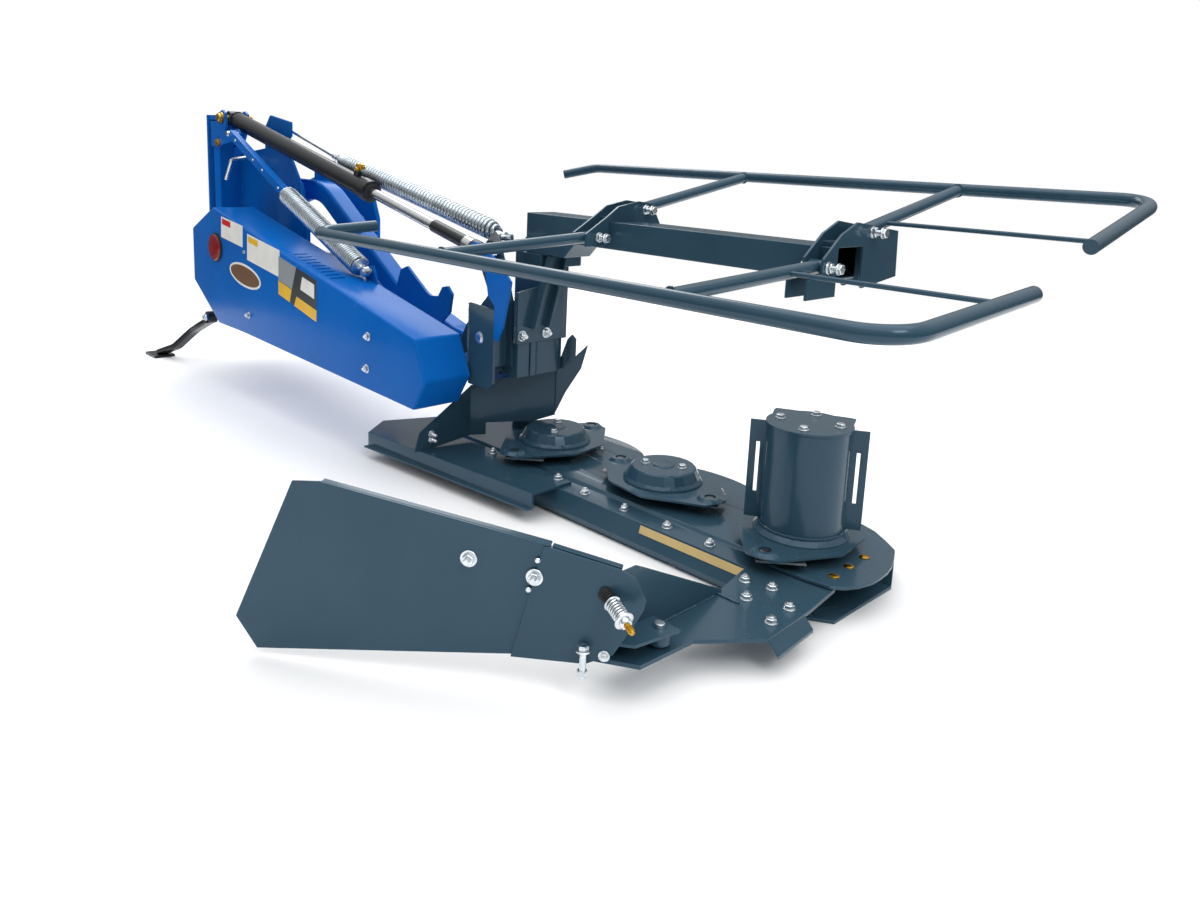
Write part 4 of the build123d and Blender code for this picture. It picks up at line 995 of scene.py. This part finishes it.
# The frame's outer face, as (y, z)
FRAME_FACE = ((-136, 398), (-136, 540), (-20, 560), (36, 560), (36, 398))
# Half the width over a hoop bracket's plates, and how far out its last washer and nut sit
BRACKET_HALF, LOCK_WASHER, LOCK_NUT = 25, 23, 25


class MOWER_OT_cutter_frame(bpy.types.Operator):
    """Frame plates, lever, column, beam, brackets and their pins"""
    bl_idname = "mower.cutter_frame"
    bl_label = "Cutter frame"

    def execute(self, context):
        dress_all("cutter", (("cutter_frame", SLATE), ("lift_lever", BLUE), ("fold_pin", ZINC),
                             ("lever_pins", ZINC), ("column", SLATE), ("carrier_beam", SLATE),
                             ("inner_bracket", SLATE), ("outer_bracket", SLATE),
                             ("bevel_gearbox", SLATE)))
        m = Maker(12)
        for x in BRACKET_X:
            for y, z in (REAR_HINGE, FRONT_HINGE):
                m.bolt((x + BRACKET_HALF, y, z), OUT, 19, 13, 17)
                m.washer((x + BRACKET_HALF + LOCK_WASHER, y, z), OUT, 12, 2)
                m.hex_head((x + BRACKET_HALF + LOCK_NUT, y, z), OUT, 19, 8)
                m.bolt((x - BRACKET_HALF, y, z), IN, 19, 13)
        m.put("bracket_bolts", "cutter", ZINC)
        m = Maker(13)
        m.lathe((CYL_EYE[0], -199, CYL_EYE[1]), REAR, [(17, -3), (17, 0.2), (16, 0.7)])
        m.washer((-520, -195, 408), REAR, 17, 1)
        m.hex_head((-520, -196, 408), REAR, 23, 3.6)
        for y in (-118, -30):
            m.bolt((-431, y, 420), OUT, 21, 15, 9)
        m.put("frame_bolts", "cutter", ZINC)
        m = Maker()
        for y, end_y in FRAME_BOX_Y:
            m.slab([(x, y, z) for x, z in FRAME_BOX], (0, end_y - y, 0))
        m.slab(*SLOT_COVER)
        m.put("frame_box", "cutter", SLATE, sizes().plate_edge)
        slab_piece("frame_face", [(-440, y, z) for y, z in FRAME_FACE], (9, 0, 0), "cutter", SLATE)
        m = Maker().each(Maker.slab, (*CHANNEL_FLANGES, CHANNEL_WEB))
        m.put("frame_channel", "cutter", SLATE, sizes().plate_edge)
        Maker(14).each(Maker.bead, FRAME_SEAMS).put("frame_welds", "cutter", SLATE)
        return {"FINISHED"}


# Each hoop's body, hinge and main tube; then the tube's radius, its joints' place and bead
HOOPS = (("front_hoop", FRONT_HINGE, FRONT_HOOP), ("rear_hoop", REAR_HINGE, REAR_HOOP))
TUBE_R, JOINT_BACK, HOOP_BEAD = 15, 14, 2.4


class MOWER_OT_hoops(bpy.types.Operator):
    """Both crop hoops of bent tube with the beads at their joints"""
    bl_idname = "mower.hoops"
    bl_label = "Hoops"

    def execute(self, context):
        for body, hinge, main in HOOPS:
            dress(body, body, SLATE)
            slope = (main[1] - hinge[1]) / (main[0] - hinge[0])
            y = main[0] - (JOINT_BACK if main[0] > 0 else -JOINT_BACK)
            m = Maker(15)
            for x in BRACKET_X:
                m.ring_bead((x, y, hinge[1] + slope * (y - hinge[0])), OUT, UP, TUBE_R, 20,
                            HOOP_BEAD)
            m.put(body + "_welds", body, SLATE)
        return {"FINISHED"}


# Cover plate at the outer end of the bar: outline as (x, y) and thickness
COVER_OUTLINE = [(430, 150), (430, 178), (470, 174), (510, 161), (547, 140), (574, 116), (597, 82),
                 (610, 49), (618, 14), (621, -22), (620, -55), (611, -92), (595, -122),
                 (572, -142), (520, -150), (430, -150)]
COVER_T = 7
# Upright web on the tail plate: outline as (y, z), place and thickness
TAIL_WEB = [(-662, 70.5), (-662, 206), (-575, 206), (-560, 199), (-316, 76), (-316, 70.5)]
TAIL_WEB_X, TAIL_WEB_T = 427, 5
# Strip along the bar's rear edge
EDGE_STRIPE = ((98, -188.8, 66), (398, -188.8, 66), (398, -193.6, 48), (98, -193.6, 48))
# Rows of Maker.wire: the round bends of the divider, with radius and sides
DIVIDER_BENDS = ((((-463, 40, 162), (-463, 40, 303)), 4.5, 12),
                 (((-637, -130, 92), (-637, -130, 239)), 3.4, 12))


class MOWER_OT_cutter_bar(bpy.types.Operator):
    """Gear case, shoes, skids, stone guards and their bolts"""
    bl_idname = "mower.cutter_bar"
    bl_label = "Cutter bar"

    def execute(self, context):
        dress_all("cutter", [(node, SLATE) for node in (
            "gear_case", "inner_shoe", "inner_skid", "outer_shoe", "stone_guard_1",
            "stone_guard_2", "stone_guard_3", "crop_divider", "divider_wing")])
        Maker(20).each(Maker.bolt, CASE_BOLTS).put("case_bolts", "cutter", ZINC)
        Maker(21).each(Maker.bolt, TAIL_BOLTS).put("tail_bolts", "cutter", ZINC)
        Maker().each(Maker.lathe, COVER_PLUGS).put("cover_plugs", "cutter", BRASS)
        slab_piece("bar_end_cover", [(x, y, COVER_TOP_Z - COVER_T) for x, y in COVER_OUTLINE],
                   (0, 0, COVER_T), "cutter", SLATE)
        slab_piece("tail_web", [(TAIL_WEB_X, y, z) for y, z in TAIL_WEB], (TAIL_WEB_T, 0, 0),
                   "cutter", SLATE)
        Maker(26).each(Maker.bead, TAIL_SEAMS).put("tail_welds", "cutter", SLATE)
        slab_piece("edge_stripe", EDGE_STRIPE, (0, -LABEL_LIFT, 0), "cutter",
                   ("dark_paint", "tan_vinyl"), 0.0)
        Maker().each(Maker.wire, DIVIDER_BENDS).put("divider_bends", "cutter", SLATE)
        Maker(25).each(Maker.bolt, DIVIDER_BOLTS).put("divider_bolts", "cutter", ZINC)
        return {"FINISHED"}


# The hub's pressed rim, with facets, and the rivets over the knife seats
RIM = ((97, DISC_TOP + 0.5), (97, DISC_TOP + 7), (84, DOME_TOP_Z - 3), (80, DOME_TOP_Z + 0.6),
       (62, DOME_TOP_Z + 0.6))
RIM_SIDES, RIM_SHARP, HUB_BOLTS_R, HUB_BOLTS_TURN = 22, 12, 48, radians(35)
SEAT_R, SEAT_RIVET = 170, ((12.5, 0), (12.5, 1.5), (10.5, 3), (4, 3.6))
DRUM_WELD_R, DRUM_WELD_Z = 95, 125


class MOWER_OT_discs(bpy.types.Operator):
    """Discs, knives, hub rims and the drum"""
    bl_idname = "mower.discs"
    bl_label = "Discs"

    def execute(self, context):
        for number in (1, 2, 3):
            body = f"disc_{number}"
            dress(body, body, SLATE)
            dress(body + "_knives", body, STEEL, KNIFE_EDGE)
            self.disc_details(number, body)
        for node in ("drum", "drum_top"):
            dress(node, "disc_3", SLATE)
        Maker(33).each(Maker.bolt, DRUM_BOLTS).put("drum_bolts", "disc_3", ZINC)
        m = Maker(34)
        m.ring_bead((DISC_X[3], 0, DRUM_WELD_Z), OUT, FRONT, DRUM_WELD_R, 60, 3.2, 6)
        m.put("drum_weld", "disc_3", SLATE)
        return {"FINISHED"}

    def disc_details(self, number, body):
        """Seat rivets of one disc, and the pressed rim and bolts of its hub."""
        x, turn = DISC_X[number], radians(DISC_TURN[number])
        if number < 3:
            m = Maker()
            m.lathe((x, 0, 0), UP, RIM, RIM_SIDES, turn)
            m.put(body + "_pressed_rim", body, SLATE, sizes().plate_edge, RIM_SHARP)
            m = Maker(30 + number)
            for side in (0, pi):
                a = turn + HUB_BOLTS_TURN + side
                m.bolt((x + HUB_BOLTS_R * cos(a), HUB_BOLTS_R * sin(a), DOME_TOP_Z), UP, 17, 12)
            m.put(body + "_hub_bolts", body, ZINC)
        m = Maker()
        for side in (0, pi):
            at = (x + SEAT_R * cos(turn + side), SEAT_R * sin(turn + side), DISC_TOP + 2.5)
            m.lathe(at, UP, SEAT_RIVET, 24)
        m.put(body + "_fasteners", body, DARK_STEEL)


# Extension plate over the board's outer end, outline as (place along the board, z)
EXTENSION_OUTLINE = [(84, 66), (37, 89), (1, 153), (-10, 175), (-14, 194), (4, 230), (30, 243),
                     (150, 268), (163, 268), (214, 62)]
# Hems along the tops of the board and its extension: both ends as (place along it, z)
HEMS = (((560, 340), (152, 271)), ((150, 268), (30, 243)))
HEM_WIDTH, HEM_T, PLATE_T = 14, 4, 4
BOARD_RIVETS, RIVET = ((172, 243), (186, 189)), ((5, 0), (5, 1), (3.5, 2.6), (1, 3))
# The sprung bolt: its foot on the board as (place, z), its far end and its length
SPRUNG_FOOT, SPRUNG_END, SPRUNG_LENGTH = (54, 198), (538, -698, 172), 92
SLEEVE = ((13, -4), (13, 2), (9, 4), (9, 26), (8, 28))


class MOWER_OT_board(bpy.types.Operator):
    """Swath board, its extension, arm, bolts and sprung bolt"""
    bl_idname = "mower.board"
    bl_label = "Swath board"

    def execute(self, context):
        dress_all("swath_board", (("swath_board", SLATE), ("board_arm", SLATE)))
        dress("board_pin", "cutter", ZINC)
        out, face = BOARD_NORMAL, BOARD_T
        cover = slab_piece("swath_extension_plate",
                           [on_board(s, z, face) for s, z in EXTENSION_OUTLINE],
                           out * PLATE_T, "swath_board", SLATE)
        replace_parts(cover, "swath_extension")
        m = Maker()
        for (s0, z0), (s1, z1) in HEMS:
            m.slab([on_board(s0, z0), on_board(s1, z1), on_board(s1, z1, -HEM_WIDTH),
                    on_board(s0, z0, -HEM_WIDTH)], (0, 0, -HEM_T))
        m.put("board_hem", "swath_board", SLATE, sizes().plate_edge)
        self.sprung_bolt()
        m = Maker(40)
        m.bolt(on_board(292, 231, face), out, 19, 15, 8)
        m.bolt(on_board(176, 213, face + PLATE_T), out, 19, 15, 8)
        for s, z in BOARD_RIVETS:
            m.lathe(on_board(s, z, face + PLATE_T), out, RIVET, 16)
        drop = on_board(86, 100, face + 16)
        m.lathe(drop, UP, [(6, -52), (6, 0)], 18)
        m.hex_head(drop, UP, 17, 8)
        m.hex_head(drop - Vector((0, 0, 46)), UP, 17, 9)
        m.washer(drop - Vector((0, 0, 3)), UP, 13, 3)
        m.bolt(on_board(52, 86, face + PLATE_T), out, 13, 10, 4)
        m.put("board_bolts", "swath_board", ZINC)
        return {"FINISHED"}

    def sprung_bolt(self):
        """The spring-loaded bolt that lets the board give way."""
        base = on_board(*SPRUNG_FOOT, BOARD_T + PLATE_T)
        axis = (Vector(SPRUNG_END) - on_board(*SPRUNG_FOOT)).normalized()
        m = Maker()
        m.lathe(base, axis, SLEEVE)
        m.coil(base + axis * 3, base + axis * 28, 9.5, 4.0, 5)
        m.put("sprung_bolt_sleeve", "swath_board", RUBBER)
        m = Maker()
        m.coil(base + axis * 28, base + axis * 62, 11.5, 4.4, 6)
        m.washer(base + axis * 62, axis, 17, 3)
        m.hex_head(base + axis * 65, axis, 19, 9)
        m.washer(base + axis * 22, axis, 15, 2.5)
        m.put("sprung_bolt_spring", "swath_board", ZINC, sharp=60)
        m = Maker()
        m.thread(base + axis * 20, axis, 5.6, SPRUNG_LENGTH - 20, 2.2)
        m.put("sprung_bolt_thread", "swath_board", BRASS)


OPERATORS = (MOWER_OT_stage, MOWER_OT_headstock, MOWER_OT_arm, MOWER_OT_guard, MOWER_OT_springs,
             MOWER_OT_cylinder, MOWER_OT_cutter_frame, MOWER_OT_hoops, MOWER_OT_cutter_bar,
             MOWER_OT_discs, MOWER_OT_board)


class MOWER_PT_panel(bpy.types.Panel):
    """Lists the building steps in the sidebar"""
    bl_idname = "MOWER_PT_panel"
    bl_label = "Disc mower"
    bl_space_type = "VIEW_3D"
    bl_region_type = "UI"
    bl_category = "Disc mower"

    def draw(self, context):
        for owner in (context.scene.mower_sizes, context.scene.mower_paints):
            for name in owner.bl_rna.properties.keys():
                if name not in ("rna_type", "name"):
                    self.layout.prop(owner, name)
        for step in OPERATORS:
            self.layout.operator(step.bl_idname)


CLASSES = (MowerSizes, MowerPaints) + OPERATORS + (MOWER_PT_panel,)


def register():
    """Registers the classes and hangs the settings on the scene."""
    for cls in CLASSES:
        bpy.utils.register_class(cls)
    bpy.types.Scene.mower_sizes = bpy.props.PointerProperty(type=MowerSizes)
    bpy.types.Scene.mower_paints = bpy.props.PointerProperty(type=MowerPaints)


def unregister():
    """Takes the settings and classes away again."""
    del bpy.types.Scene.mower_paints
    del bpy.types.Scene.mower_sizes
    for cls in reversed(CLASSES):
        bpy.utils.unregister_class(cls)


def main():
    """Builds the mower."""
    register()
    for step in OPERATORS:
        group, name = step.bl_idname.split(".")
        getattr(getattr(bpy.ops, group), name)()
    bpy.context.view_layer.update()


if __name__ == "__main__":
    main()
